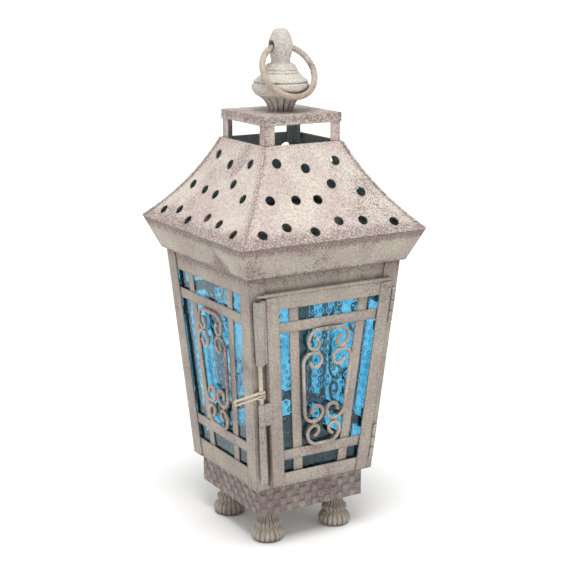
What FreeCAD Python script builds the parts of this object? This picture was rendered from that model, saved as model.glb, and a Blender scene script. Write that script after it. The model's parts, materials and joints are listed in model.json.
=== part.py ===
import FreeCAD, Part
import math
import os
import re

from FreeCAD import Placement, Rotation, Vector

# Candle lantern: a sheet-metal body that widens upwards, with glazed sides behind flat bars and
# wire scrolls, a hinged door with a drop bolt, a pierced roof, an open vent under a flat cap and
# a cast finial that carries the hanging ring.
# Millimetres. +Z is up, the door faces -Y, and the origin is on the ground under the centre.

doc = FreeCAD.newDocument("candle_lantern")
sizes = doc.addObject("Spreadsheet::Sheet", "Sizes")

DRIVING_SIZES = (
    # sheet, rod and running clearances
    ("gauge", 0.8),
    ("clearance", 0.3),
    ("cut_margin", 1.0),
    # feet and base
    ("foot_height", 25.6),
    ("foot_bulge_radius", 12.3),
    ("foot_neck_radius", 7.0),
    ("foot_bulge_level", 0.18),
    ("foot_bulge_depth", 0.24),
    ("foot_collar_level", 0.52),
    ("foot_collar_depth", 0.16),
    ("foot_collar_width", 0.77),
    ("foot_neck_level", 0.2),
    ("foot_inset", 15.4),
    ("band_inset", 4.9),
    ("band_height", 22.4),
    ("floor_gap", 0.4),
    ("screw_radius", 2.0),
    ("screw_depth", 12.0),
    ("screw_head_radius", 3.6),
    ("screw_head_height", 2.2),
    # tapered body
    ("body_half_bottom", 50.4),
    ("body_half_top", 64.3),
    ("body_height", 165.2),
    ("post_arm", 13.5),
    ("rail_gap", 0.2),
    ("rail_low_height", 15.5),
    ("rail_high_height", 14.8),
    ("sill_height", 9.0),
    ("header_height", 18.3),
    # glazing, bars and scrolls
    ("glass_thickness", 1.6),
    ("glass_lap", 3.0),
    ("bar_width", 8.0),
    ("bar_lap", 4.0),
    ("cross_bar_rise", 32.0),
    ("cross_bar_drop", 32.8),
    ("upright_inset", 32.5),
    ("scroll_wire_radius", 1.3),
    ("scroll_edge_gap", 0.9),
    ("top_arch_gap", 7.2),
    ("bottom_arch_gap", 2.9),
    # door
    ("door_side_inset", 9.0),
    ("door_shift", 1.5),
    ("door_low", 3.0),
    ("door_top_margin", 12.0),
    ("door_depth", 4.2),
    ("door_stile", 10.5),
    ("door_rail_low", 10.5),
    ("door_rail_high", 12.0),
    ("door_cross_rise", 24.5),
    ("door_cross_drop", 26.3),
    # hinges
    ("hinge_rise", 21.0),
    ("hinge_drop", 20.8),
    ("knuckle_length", 8.0),
    ("knuckle_wall", 1.2),
    ("knuckle_gap", 0.4),
    ("pin_radius", 1.0),
    ("pin_play", 0.05),
    ("hinge_lift", 0.25),
    ("pin_head_width", 1.7),
    ("pin_overhang", 1.0),
    ("leaf_width", 4.6),
    # drop bolt
    ("bolt_radius", 1.5),
    ("bolt_play", 0.25),
    ("bolt_tip_gap", 0.4),
    ("bolt_tuck", 32.0),
    ("keeper_rise", 7.0),
    ("keeper_length", 44.2),
    ("keeper_wall", 0.55),
    ("keeper_web", 2.4),
    ("lower_sleeve_length", 17.5),
    ("lower_sleeve_wall", 0.65),
    ("flap_width", 2.4),
    ("flap_gauge", 0.6),
    ("flap_corner_radius", 2.2),
    ("upper_sleeve_drop", 3.3),
    ("upper_sleeve_length", 48.2),
    ("upper_sleeve_wall", 1.65),
    ("sleeve_gap", 2.6),
    ("bolt_lift", 0.1),
    ("handle_rise", 9.0),
    ("handle_length", 20.4),
    ("handle_slope", 3.5),
    ("handle_wire_radius", 1.0),
    ("handle_bend_radius", 1.5),
    # cornice and roof
    ("cornice_overhang", 2.9),
    ("cornice_height", 23.7),
    ("cornice_lip", 5.0),
    ("cornice_flare", 10.3),
    ("roof_top_half", 32.5),
    ("roof_height", 62.8),
    ("roof_sag", 4.0),
    ("vent_hole_radius", 4.0),
    ("seam_radius", 1.1),
    # vent and cap
    ("vent_gap", 13.9),
    ("vent_post_arm", 8.0),
    ("vent_post_tuck", 8.0),
    ("cap_height", 6.8),
    # finial, nut and ring
    ("bead_radius", 17.2),
    ("bead_round", 4.4),
    ("bulb_radius", 8.9),
    ("bulb_half_height", 12.4),
    ("stud_radius", 2.5),
    ("nut_width", 8.0),
    ("nut_height", 4.0),
    ("ring_radius", 21.0),
    ("ring_wire_radius", 2.3),
    # candle cup
    ("cup_radius", 31.0),
    ("cup_height", 10.0),
    ("rim_radius", 1.2),
    ("rivet_radius", 1.6),
    ("rivet_head_radius", 3.2),
    # tabs that hold the glass
    ("clip_length", 7.0),
    ("clip_gauge", 0.5),
    ("clip_lap", 0.55),
    ("clip_grip", 2.5),
    ("clip_margin", 45.0),
)

for row, (alias, value) in enumerate(DRIVING_SIZES, start=1):
    sizes.set("A%d" % row, alias)
    sizes.set("B%d" % row, str(value))
    sizes.setAlias("B%d" % row, alias)
doc.recompute()

ALIASES = {alias for alias, _ in DRIVING_SIZES}


def size(alias):
    """Value of one driving size, in millimetres."""
    return float(getattr(sizes, alias))


def expression(text):
    """Turn a formula in plain size names into an expression on the sheet."""
    return re.sub(r"[a-z_]+", lambda m: "Sizes." + m.group() if m.group() in ALIASES else m.group(),
                  str(text))


def bind(thing, **formulas):
    """Bind each named property to a formula of driving sizes."""
    for name, text in formulas.items():
        thing.setExpression(name, expression(text))
    return thing


def primitive(kind, name, place=None, **formulas):
    """One Part primitive whose sizes are bound to the sheet."""
    thing = doc.addObject("Part::" + kind, name)
    bind(thing, **formulas)
    if place is not None:
        thing.Placement = place
    return thing


def cut(name, base, tool):
    """Base without tool."""
    thing = doc.addObject("Part::Cut", name)
    thing.Base = base
    thing.Tool = tool
    return thing


def common(name, base, tool):
    """What base and tool share."""
    thing = doc.addObject("Part::Common", name)
    thing.Base = base
    thing.Tool = tool
    return thing


def fuse(name, shapes):
    """All shapes as one solid."""
    thing = doc.addObject("Part::MultiFuse", name)
    thing.Shapes = shapes
    return thing


def group(name, links):
    """Separate solids that share one node."""
    thing = doc.addObject("Part::Compound", name)
    thing.Links = links
    return thing


nodes = {}


def node(label, thing):
    """Register a finished sub-part under its own label."""
    thing.Label = label
    nodes[label] = thing
    return thing


# ---------------------------------------------------------------------------------------------
# Frames of reference
# ---------------------------------------------------------------------------------------------

X_AXIS = Vector(1, 0, 0)
Z_AXIS = Vector(0, 0, 1)

# Formulas that several sub-parts share.
FLARE = "(body_half_top - body_half_bottom)"
SLANT = "sqrt(body_height^2 + %s^2)" % FLARE
BAND_HALF = "(body_half_bottom - band_inset)"
CORNICE_HALF = "(body_half_top + cornice_overhang)"
EAVE_HALF = "(%s + cornice_flare)" % CORNICE_HALF
DOOR_HIGH = "(%s - door_top_margin)" % SLANT
KNUCKLE_RADIUS = "(pin_radius + pin_play + knuckle_wall)"
BOLT_BORE = "(bolt_radius + bolt_play)"
UPPER_SLEEVE_RADIUS = "(%s + upper_sleeve_wall)" % BOLT_BORE

gauge = size("gauge")
clearance = size("clearance")
margin = size("cut_margin")
flare = size("body_half_top") - size("body_half_bottom")
slant = math.hypot(size("body_height"), flare)
lean = math.degrees(math.atan2(flare, size("body_height")))
edge_lean = math.degrees(math.atan2(flare, slant))

door_high = slant - size("door_top_margin")
band_half = size("body_half_bottom") - size("band_inset")
eave_half = size("body_half_top") + size("cornice_overhang") + size("cornice_flare")

body_bottom = size("foot_height") + size("band_height")
body_top = body_bottom + size("body_height")
eave_z = body_top + size("cornice_height")
roof_top = eave_z + size("roof_height")
cap_bottom = roof_top + size("vent_gap")
cap_top = cap_bottom + size("cap_height")

SIDES = {"front": 0.0, "right": 90.0, "back": 180.0, "left": 270.0}
GLAZED_SIDES = ("right", "back", "left")
CORNERS = {"front_right": 0.0, "back_right": 90.0, "back_left": 180.0, "front_left": 270.0}


def face_half(up):
    """Formula of a body face's half width at a slant height above the body's bottom edge."""
    return "(body_half_bottom + %s * (%s) / %s)" % (FLARE, up, SLANT)


def face_half_value(up):
    """The same half width as a number."""
    return size("body_half_bottom") + flare * up / slant


def turned(angle):
    """Placement that turns the front side to another side."""
    return Placement(Vector(0, 0, 0), Rotation(Z_AXIS, angle))


def face_frame(side):
    """Frame on a body face: X across, Y up the slope, Z out of the face."""
    foot_of_face = Vector(0, -size("body_half_bottom"), body_bottom)
    return turned(SIDES[side]) * Placement(foot_of_face, Rotation(X_AXIS, 90.0 + lean))


def edge_frame(hand, reach, off_face, up=0.0):
    """Frame beside a long edge of the door: Y runs along the edge, Z out of the face.

    hand is +1 for the hinge edge and -1 for the bolt edge, reach the square distance outside the
    edge, and up the distance along it from the level of the body's bottom.
    """
    square_reach = reach / math.cos(math.radians(edge_lean))
    across = hand * (face_half_value(0.0) - size("door_side_inset") + square_reach) + size("door_shift")
    start = Placement(Vector(across, 0, off_face), Rotation(Z_AXIS, -hand * edge_lean))
    return face_frame("front") * start * Placement(Vector(0, up, 0), Rotation())


ALONG_EDGE = Rotation(X_AXIS, -90.0)


# ---------------------------------------------------------------------------------------------
# Shapes that several sub-parts share
# ---------------------------------------------------------------------------------------------

def plate(name, side, low, high, left, right, back, front):
    """Flat tapered plate on a body face.

    low and high are slant heights, left and right give the edges as functions of a slant height,
    back and front are distances out of the face.
    """
    return primitive("Wedge", name, face_frame(side),
                     Ymin=low, Ymax=high,
                     Xmin=left(low), Xmax=right(low), X2min=left(high), X2max=right(high),
                     Zmin=back, Z2min=back, Zmax=front, Z2max=front)


def inset_edges(inset, shift="0"):
    """Left and right edge functions at one inset from the face's own edges."""
    return (lambda up: "-(%s - (%s)) + %s" % (face_half(up), inset, shift),
            lambda up: "(%s - (%s)) + %s" % (face_half(up), inset, shift))


def strip_edges(hand, inset, width, shift="0"):
    """Edge functions of a strip that follows one side of the face."""
    middle = lambda up: "%d * (%s - (%s)) + %s" % (hand, face_half(up), inset, shift)
    return (lambda up: "%s - (%s) / 2" % (middle(up), width),
            lambda up: "%s + (%s) / 2" % (middle(up), width))


def frustum(name, bottom, top, half_bottom, half_top):
    """Square frustum on the Z axis between two heights, which are numbers."""
    place = Placement(Vector(0, 0, bottom), Rotation(X_AXIS, 90.0))
    thing = primitive("Wedge", name, place,
                      Xmin="-(%s)" % half_bottom, Xmax=half_bottom,
                      Zmin="-(%s)" % half_bottom, Zmax=half_bottom,
                      X2min="-(%s)" % half_top, X2max=half_top,
                      Z2min="-(%s)" % half_top, Z2max=half_top)
    thing.Ymin = 0
    thing.Ymax = top - bottom
    return thing


def disc(name, radius, height, bottom, centre=(0.0, 0.0)):
    """Upright cylinder: formulas for its sizes, a number for its bottom."""
    return primitive("Cylinder", name, Placement(Vector(centre[0], centre[1], bottom), Rotation()),
                     Radius=radius, Height=height)


def sweep(edges, radius):
    """Round wire along tangent edges."""
    path = Part.Wire(edges)
    start = path.Edges[0]
    first = start.FirstParameter
    circle = Part.Circle(start.valueAt(first), start.tangentAt(first), radius)
    return path.makePipeShell([Part.Wire([circle.toShape()])], True, False)


def bent_path(start, heading, moves):
    """Edges of a flat path made of straight runs and tangent arcs.

    start is (x, y), heading an angle in degrees, and each move is (length,) for a run or
    (radius, turn) for an arc, whose turn is positive to the left.
    """
    edges = []
    x, y = start
    angle = math.radians(heading)
    for move in moves:
        if len(move) == 1:
            end = (x + move[0] * math.cos(angle), y + move[0] * math.sin(angle))
            edges.append(Part.LineSegment(Vector(x, y, 0), Vector(end[0], end[1], 0)).toShape())
        else:
            radius, turn = move[0], math.radians(move[1])
            side = math.copysign(1.0, turn)
            centre = (x - side * radius * math.sin(angle), y + side * radius * math.cos(angle))

            def on_arc(part):
                """Point of the arc after a share of its turn."""
                now = angle + turn * part
                return Vector(centre[0] + side * radius * math.sin(now),
                              centre[1] - side * radius * math.cos(now), 0)

            end = (on_arc(1.0).x, on_arc(1.0).y)
            edges.append(Part.Arc(on_arc(0.0), on_arc(0.5), on_arc(1.0)).toShape())
            angle += turn
        x, y = end
    return edges


def feature(name, shape, place=None):
    """Sub-part whose shape is made in code."""
    thing = doc.addObject("Part::Feature", name)
    thing.Shape = shape
    if place is not None:
        thing.Placement = place
    return thing


# ---------------------------------------------------------------------------------------------
# Base: four bun feet, bottom plate, embossed band and floor
# ---------------------------------------------------------------------------------------------

foot_centre = band_half - size("foot_inset")
foot_places = {name: (foot_centre * (1 if "right" in name else -1),
                      foot_centre * (1 if "back" in name else -1))
               for name in CORNERS}


def foot(name, centre):
    """Bun foot: a wide bulge under a smaller collar and a neck, with a hole for its screw."""
    x, y = centre
    high = size("foot_height")
    bulge_place = Placement(Vector(x, y, size("foot_bulge_level") * high), Rotation())
    collar_place = Placement(Vector(x, y, size("foot_collar_level") * high), Rotation())
    bulge = primitive("Ellipsoid", name + "_bulge", bulge_place,
                      Radius1="foot_bulge_depth * foot_height", Radius2="foot_bulge_radius")
    collar = primitive("Ellipsoid", name + "_collar", collar_place,
                       Radius1="foot_collar_depth * foot_height",
                       Radius2="foot_collar_width * foot_bulge_radius")
    neck = disc(name + "_neck", "foot_neck_radius", "(1 - foot_neck_level) * foot_height",
                size("foot_neck_level") * high, centre)
    envelope = disc(name + "_envelope", "foot_bulge_radius + cut_margin", "foot_height", 0.0, centre)
    hole = disc(name + "_hole", "screw_radius", "screw_depth", high - size("screw_depth"), centre)
    turned_shape = common(name + "_turned", fuse(name + "_stack", [bulge, collar, neck]), envelope)
    return cut(name + "_drilled", turned_shape, hole)


def foot_screw(name, centre):
    """Pan-head screw from the bottom plate down into a foot."""
    top_of_plate = size("foot_height") + gauge
    shank = disc(name + "_shank", "screw_radius", "screw_depth + gauge",
                 size("foot_height") - size("screw_depth"), centre)
    head = disc(name + "_head", "screw_head_radius", "screw_head_height", top_of_plate, centre)
    return fuse(name, [shank, head])


for corner, centre in foot_places.items():
    node("foot_" + corner, foot("foot_" + corner, centre))
all_screws = [foot_screw("foot_screw_" + corner, centre) for corner, centre in foot_places.items()]
node("foot_screws", group("foot_screws_group", all_screws))

band_bottom = size("foot_height")
bottom_sheet = frustum("bottom_sheet", band_bottom, band_bottom + gauge,
                       BAND_HALF + " - gauge", BAND_HALF + " - gauge")
screw_holes = fuse("screw_holes", [disc("screw_hole_" + corner, "screw_radius", "3 * gauge",
                                        band_bottom - gauge, centre)
                                   for corner, centre in foot_places.items()])
node("base_plate", cut("base_plate_drilled", bottom_sheet, screw_holes))

band_outside = frustum("band_outside", band_bottom, body_bottom, BAND_HALF, BAND_HALF)
band_inside = frustum("band_inside", band_bottom - margin, body_bottom + margin,
                      BAND_HALF + " - gauge", BAND_HALF + " - gauge")
node("base_band", cut("base_band_wall", band_outside, band_inside))

floor_top = body_bottom + gauge
FLOOR_HALF = "(body_half_bottom - 2 * gauge - floor_gap)"
floor_sheet = frustum("floor_sheet", body_bottom, floor_top, FLOOR_HALF, FLOOR_HALF)
floor_hole = disc("floor_hole", "rivet_radius", "3 * gauge", body_bottom - gauge)
node("floor_plate", cut("floor_plate_drilled", floor_sheet, floor_hole))


# ---------------------------------------------------------------------------------------------
# Candle cup and its rivet
# ---------------------------------------------------------------------------------------------

def candle_cup():
    """Shallow round pan with a rolled rim, held by a flush rivet through its bottom."""
    outside = disc("cup_outside", "cup_radius", "cup_height", floor_top)
    inside = disc("cup_inside", "cup_radius - gauge", "cup_height", floor_top + gauge)
    rim_place = Placement(Vector(0, 0, floor_top + size("cup_height")), Rotation())
    rim = primitive("Torus", "cup_rim", rim_place, Radius1="cup_radius - gauge / 2", Radius2="rim_radius")
    hole = disc("cup_hole", "rivet_radius", "3 * gauge", floor_top - gauge)
    shell = fuse("cup_shell", [cut("cup_wall", outside, inside), rim])
    return cut("cup_drilled", shell, hole)


node("candle_cup", candle_cup())
rivet_head = disc("rivet_head", "rivet_head_radius", "gauge", body_bottom - gauge)
rivet_shank = disc("rivet_shank", "rivet_radius", "3 * gauge", body_bottom - gauge)
node("cup_rivet", fuse("cup_rivet_shape", [rivet_head, rivet_shank]))


# ---------------------------------------------------------------------------------------------
# Corner posts and rails of the body
# ---------------------------------------------------------------------------------------------

POST_GAUGE = "(gauge * %s / body_height)" % SLANT


def corner_prism(name, near, far):
    """Leaning square prism in the front right corner, between two insets from its outer faces."""
    place = Placement(Vector(0, 0, body_bottom), Rotation(X_AXIS, 90.0))
    return primitive("Wedge", name, place,
                     Ymin="0", Ymax="body_height",
                     Xmin="body_half_bottom - (%s)" % far, Xmax="body_half_bottom - (%s)" % near,
                     Zmin="body_half_bottom - (%s)" % far, Zmax="body_half_bottom - (%s)" % near,
                     X2min="body_half_top - (%s)" % far, X2max="body_half_top - (%s)" % near,
                     Z2min="body_half_top - (%s)" % far, Z2max="body_half_top - (%s)" % near)


def corner_post(name, angle):
    """Angle post folded along the corner of the body."""
    outside = corner_prism(name + "_outside", "0", "post_arm")
    inside = corner_prism(name + "_inside", POST_GAUGE, "post_arm + cut_margin")
    for prism in (outside, inside):
        prism.Placement = turned(angle) * prism.Placement
    return cut(name + "_fold", outside, inside)


for corner, angle in CORNERS.items():
    node("corner_post_" + corner, corner_post("post_" + corner, angle))

RAIL_TOP = "(%s - 2 * gauge * %s / body_height)" % (SLANT, FLARE)
RAIL_BACK = "-2 * gauge"
RAIL_FRONT = "-gauge"
rail_left, rail_right = inset_edges("2 * gauge + rail_gap")
for side in SIDES:
    low_rail = "sill_height" if side == "front" else "rail_low_height"
    high_rail = "header_height" if side == "front" else "rail_high_height"
    node("bottom_rail_" + side,
         plate("bottom_rail_" + side + "_sheet", side, "0", low_rail,
               rail_left, rail_right, RAIL_BACK, RAIL_FRONT))
    node("top_rail_" + side,
         plate("top_rail_" + side + "_sheet", side, "%s - %s" % (SLANT, high_rail), RAIL_TOP,
               rail_left, rail_right, RAIL_BACK, RAIL_FRONT))


# ---------------------------------------------------------------------------------------------
# Bars, glass and wire scrolls: one set on each glazed side and one in the door
# ---------------------------------------------------------------------------------------------

def cross_bars(name, side, low, high, edges, back, front):
    """Two level bars across a window."""
    bars = []
    for place, middle in (("low", low), ("high", high)):
        bars.append(plate("%s_%s" % (name, place), side, "%s - bar_width / 2" % middle,
                          "%s + bar_width / 2" % middle, edges[0], edges[1], back, front))
    return group(name + "_pair", bars)


def upright_bars(name, side, low, high, shift, back, front):
    """Two upright bars that follow the taper of the face."""
    bars = []
    for hand in (-1, 1):
        left, right = strip_edges(hand, "upright_inset", "bar_width", shift)
        bars.append(plate("%s_%s" % (name, "right" if hand > 0 else "left"), side, low, high, left, right,
                          back, front))
    return group(name + "_pair", bars)


# Bends of half a scroll after its straight run, as (radius, turn) arcs and a last (length,) run.
ARCH_BENDS = [(8.6, 90), (7.0, 60), (3.9, 130), (5.0, 45), (2.0,)]
SIDE_BENDS = [(8.5, 75), (7.4, 80), (5.3, 115), (4.0, 75), (2.5,)]


def bend_reach(bends):
    """How far a half scroll's bends carry it past the end of its run, along its first heading."""
    return max(edge.BoundBox.XMax for edge in bent_path((0, 0), 0.0, bends))


def bend_depth(bends):
    """How far a half scroll's bends carry it to the left of its first heading."""
    return max(edge.BoundBox.YMax for edge in bent_path((0, 0), 0.0, bends))


def wire_scroll(start, heading, run, bends):
    """One C-shaped scroll: two mirrored halves that leave its middle in opposite directions."""
    moves = [(run,)] + bends
    mirrored = [(move[0], -move[1]) if len(move) == 2 else move for move in moves]
    ahead = bent_path(start, heading, moves)
    behind = bent_path(start, heading + 180.0, mirrored)
    return sweep(behind[::-1] + ahead, size("scroll_wire_radius"))


def scrollwork(name, side, low, high, shift, off_face):
    """Four scrolls between the cross bars: an arch at each end and one against each upright bar."""
    wire = size("scroll_wire_radius")
    edge_gap = size("scroll_edge_gap")
    top = high - size("bar_width") / 2 - edge_gap
    bottom = low + size("bar_width") / 2 + edge_gap
    side_top = top - bend_depth(ARCH_BENDS) - 2 * wire
    side_bottom = bottom + bend_depth(ARCH_BENDS) + 2 * wire
    side_middle = (side_top + side_bottom) / 2
    side_run = (side_top - side_bottom) / 2 - bend_reach(SIDE_BENDS)
    bend_out = bend_reach(ARCH_BENDS)

    def cell_half(up):
        """Half the width between the two upright bars."""
        return face_half_value(up) - size("upright_inset") - size("bar_width") / 2

    top_run = cell_half(top) - size("top_arch_gap") - bend_out
    bottom_run = cell_half(bottom) - size("bottom_arch_gap") - bend_out
    wires = [wire_scroll((0, top), 180.0, top_run, ARCH_BENDS),
             wire_scroll((0, bottom), 0.0, bottom_run, ARCH_BENDS)]
    for hand in (-1, 1):
        across = hand * (cell_half(side_middle) - wire - clearance)
        solid = wire_scroll((across, side_middle), 90.0 * hand, side_run, SIDE_BENDS)
        solid.rotate(Vector(across, side_middle, 0), Z_AXIS, -hand * edge_lean)
        wires.append(solid)
    for solid in wires:
        solid.translate(Vector(shift, 0, off_face + wire))
    return feature(name, Part.makeCompound(wires), face_frame(side))


def glass_clips(name, side, edges_inset, shift, glass_back, sheet_back):
    """Four bent tabs that hold a pane against its frame."""
    clips = []
    back = glass_back - size("clip_gauge")
    for hand in (-1, 1):
        for up in (size("clip_margin"), slant - size("clip_margin") - size("clip_length")):
            edge = hand * (face_half_value(up + size("clip_length")) - edges_inset) + shift
            outer = edge + hand * size("clip_lap")
            low_x, high_x = sorted((edge - hand * size("clip_grip"), outer))
            tab = Part.makeBox(high_x - low_x, size("clip_length"), size("clip_gauge"),
                               Vector(low_x, up, back))
            low_x, high_x = sorted((outer - hand * size("clip_gauge"), outer))
            leg = Part.makeBox(high_x - low_x, size("clip_length"), sheet_back - back,
                               Vector(low_x, up, back))
            clips.append(tab.fuse(leg).removeSplitter())
    return feature(name, Part.makeCompound(clips), face_frame(side))


glass = size("glass_thickness")
window_left, window_right = inset_edges("post_arm - bar_lap")
pane_left, pane_right = inset_edges("post_arm - glass_lap")

CROSS_BAR_HIGH = "(%s - cross_bar_drop)" % SLANT

all_side_clips = []
for side in GLAZED_SIDES:
    node("cross_bars_" + side, cross_bars("cross_bars_" + side, side, "cross_bar_rise", CROSS_BAR_HIGH,
                                          (window_left, window_right), RAIL_BACK, RAIL_FRONT))
    node("upright_bars_" + side, upright_bars("upright_bars_" + side, side, "rail_low_height - bar_lap",
                                              "%s - rail_high_height + bar_lap" % SLANT, "0",
                                              "-3 * gauge", "-2 * gauge"))
    node("glass_" + side, plate("glass_" + side + "_pane", side, "rail_low_height - glass_lap",
                                "%s - rail_high_height + glass_lap" % SLANT, pane_left, pane_right,
                                "-3 * gauge - glass_thickness", "-3 * gauge"))
    node("scrollwork_" + side, scrollwork("scrollwork_%s_wires" % side, side, size("cross_bar_rise"),
                                          slant - size("cross_bar_drop"), 0.0, -gauge))
    all_side_clips.append(glass_clips("clips_" + side, side, size("post_arm") - size("glass_lap"), 0.0,
                                      -3 * gauge - glass, -gauge))
node("glass_clips", group("glass_clips_group", all_side_clips))


# ---------------------------------------------------------------------------------------------
# Door
# ---------------------------------------------------------------------------------------------

DOOR_BACK = "clearance"
DOOR_FRONT = "(clearance + door_depth)"
DOOR_SKIN = "(%s - gauge)" % DOOR_FRONT
door_front = clearance + size("door_depth")

outer_left, outer_right = inset_edges("door_side_inset", "door_shift")
tray_left, tray_right = inset_edges("door_side_inset + gauge", "door_shift")
opening_left, opening_right = inset_edges("door_side_inset + door_stile", "door_shift")
door_block = plate("door_block", "front", "door_low", DOOR_HIGH, outer_left, outer_right,
                   DOOR_BACK, DOOR_FRONT)
door_hollow = plate("door_hollow", "front", "door_low + gauge", DOOR_HIGH + " - gauge", tray_left, tray_right,
                    DOOR_BACK + " - cut_margin", DOOR_SKIN)
door_window = plate("door_window", "front", "door_low + door_rail_low", DOOR_HIGH + " - door_rail_high",
                    opening_left, opening_right, DOOR_BACK, DOOR_FRONT + " + cut_margin")
node("door_frame", cut("door_frame_sheet", cut("door_tray", door_block, door_hollow), door_window))

DOOR_CROSS_HIGH = "(%s - door_cross_drop)" % DOOR_HIGH
DOOR_PANE_LOW = "door_low + door_rail_low - glass_lap"
DOOR_PANE_HIGH = DOOR_HIGH + " - door_rail_high + glass_lap"
lap_left, lap_right = inset_edges("door_side_inset + door_stile - glass_lap", "door_shift")
node("door_cross_bars",
     cross_bars("door_cross_bars", "front", "(door_low + door_cross_rise)", DOOR_CROSS_HIGH,
                (lap_left, lap_right), DOOR_SKIN + " - gauge", DOOR_SKIN))
node("door_upright_bars",
     upright_bars("door_upright_bars", "front", DOOR_PANE_LOW, DOOR_PANE_HIGH, "door_shift",
                  DOOR_SKIN + " - 2 * gauge", DOOR_SKIN + " - gauge"))
node("door_glass", plate("door_pane", "front", DOOR_PANE_LOW, DOOR_PANE_HIGH, lap_left, lap_right,
                         DOOR_SKIN + " - 2 * gauge - glass_thickness", DOOR_SKIN + " - 2 * gauge"))
node("door_scrollwork",
     scrollwork("door_scrollwork_wires", "front", size("door_low") + size("door_cross_rise"),
                door_high - size("door_cross_drop"), size("door_shift"), door_front - gauge))
node("door_glass_clips",
     glass_clips("door_clips", "front", size("door_side_inset") + size("door_stile") - size("glass_lap"),
                 size("door_shift"), door_front - 3 * gauge - glass, door_front - gauge))


# ---------------------------------------------------------------------------------------------
# Hinges
# ---------------------------------------------------------------------------------------------

knuckle = size("knuckle_length")
knuckle_radius = size("pin_radius") + size("pin_play") + size("knuckle_wall")
hinge_reach = knuckle_radius + size("knuckle_gap")
hinge_off_face = knuckle_radius + clearance + size("hinge_lift")


def hinge_frame(up):
    """Frame on the hinge line, Y along it."""
    return edge_frame(1, hinge_reach, hinge_off_face, up)


def tube(name, frame, radius, bore, length):
    """Tube along the frame's Y axis, as its body and its bore."""
    along = frame * Placement(Vector(0, 0, 0), ALONG_EDGE)
    below = frame * Placement(Vector(0, -margin, 0), ALONG_EDGE)
    body = primitive("Cylinder", name + "_body", along, Radius=radius, Height=length)
    hole = primitive("Cylinder", name + "_bore", below, Radius=bore, Height="%s + 2 * cut_margin" % length)
    return body, hole


def box_at(name, frame, low_corner, length, **formulas):
    """Box in a frame: its low corner as numbers, its length along Y as a formula."""
    place = frame * Placement(Vector(*low_corner), Rotation())
    return primitive("Box", name, place, Width=length, **formulas)


def frame_knuckle(name, up):
    """Rolled knuckle of the body, with its leaf on the corner post."""
    frame = hinge_frame(up)
    leaf_tail = gauge / 2
    roll, bore = tube(name, frame, KNUCKLE_RADIUS, "pin_radius", "knuckle_length")
    leaf = box_at(name + "_leaf", frame, (-leaf_tail, 0, -hinge_off_face), "knuckle_length",
                  Length="leaf_width", Height="gauge")
    web = box_at(name + "_web", frame, (knuckle_radius - 2 * gauge, 0, -hinge_off_face), "knuckle_length",
                 Length="2 * gauge", Height=str(hinge_off_face))
    return cut(name + "_bored", fuse(name, [roll, leaf, web]), bore)


def door_knuckle(name, up):
    """Rolled knuckle of the door, with its leaf on the door's folded edge."""
    frame = hinge_frame(up)
    roll, bore = tube(name, frame, KNUCKLE_RADIUS, "pin_radius + pin_play", "knuckle_length")
    leaf = box_at(name + "_leaf", frame, (-hinge_reach, 0, -gauge), "knuckle_length",
                  Length=str(hinge_reach), Height="2 * gauge")
    return cut(name + "_bored", fuse(name, [roll, leaf]), bore)


def hinge_pin(name, up):
    """Headed pin through three knuckles."""
    frame = hinge_frame(up - 1.5 * knuckle - clearance - size("pin_overhang"))
    along = frame * Placement(Vector(0, 0, 0), ALONG_EDGE)
    length = "3 * knuckle_length + 2 * clearance + 2 * pin_overhang"
    shank = primitive("Cylinder", name + "_shank", along, Radius="pin_radius", Height=length)
    top_end = 3 * knuckle + 2 * clearance + size("pin_overhang")
    over = frame * Placement(Vector(0, top_end, 0), ALONG_EDGE)
    head = primitive("Cylinder", name + "_head", over,
                     Radius="pin_head_width * pin_radius", Height="pin_radius")
    return fuse(name, [shank, head])


frame_rolls = []
door_rolls = []
pins = []
for level, middle in (("low_hinge", size("door_low") + size("hinge_rise")),
                      ("high_hinge", door_high - size("hinge_drop"))):
    frame_rolls.append(frame_knuckle(level + "_roll_under", middle - 1.5 * knuckle - clearance))
    frame_rolls.append(frame_knuckle(level + "_roll_over", middle + 0.5 * knuckle + clearance))
    door_rolls.append(door_knuckle(level + "_roll_door", middle - 0.5 * knuckle))
    pins.append(hinge_pin(level + "_pin", middle))
node("frame_knuckles", group("frame_knuckles_group", frame_rolls))
node("door_knuckles", group("door_knuckles_group", door_rolls))
node("hinge_pins", group("hinge_pins_group", pins))


# ---------------------------------------------------------------------------------------------
# Drop bolt: two sleeves on the door, a rod with a hairpin handle, and a keeper on the post
# ---------------------------------------------------------------------------------------------

bolt_bore = size("bolt_radius") + size("bolt_play")
upper_sleeve_radius = bolt_bore + size("upper_sleeve_wall")
bolt_reach = upper_sleeve_radius + size("sleeve_gap")
bolt_off_face = upper_sleeve_radius + clearance + size("bolt_lift")
keeper_low = size("door_low") + size("keeper_rise")
keeper_high = keeper_low + size("keeper_length")
lower_sleeve_low = keeper_high + clearance
lower_sleeve_high = lower_sleeve_low + size("lower_sleeve_length")
upper_sleeve_low = door_high - size("upper_sleeve_drop") - size("upper_sleeve_length")


def bolt_frame(up):
    """Frame on the bolt line, Y along it."""
    return edge_frame(-1, bolt_reach, bolt_off_face, up)


def keeper():
    """Closed tube on the corner post that the bolt drops into."""
    frame = bolt_frame(keeper_low)
    along = frame * Placement(Vector(0, 0, 0), ALONG_EDGE)
    radius = BOLT_BORE + " + keeper_wall"
    roll = primitive("Cylinder", "keeper_roll", along, Radius=radius, Height="keeper_length")
    end = primitive("Sphere", "keeper_end", frame, Radius=radius)
    web = box_at("keeper_web_plate", frame, (-size("keeper_web") / 2, 0, -bolt_off_face), "keeper_length",
                 Length="keeper_web", Height=str(bolt_off_face))
    bore = primitive("Cylinder", "keeper_bore", along, Radius=BOLT_BORE, Height="keeper_length + cut_margin")
    return cut("keeper_bored", fuse("keeper_shape", [roll, end, web]), bore)


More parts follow.
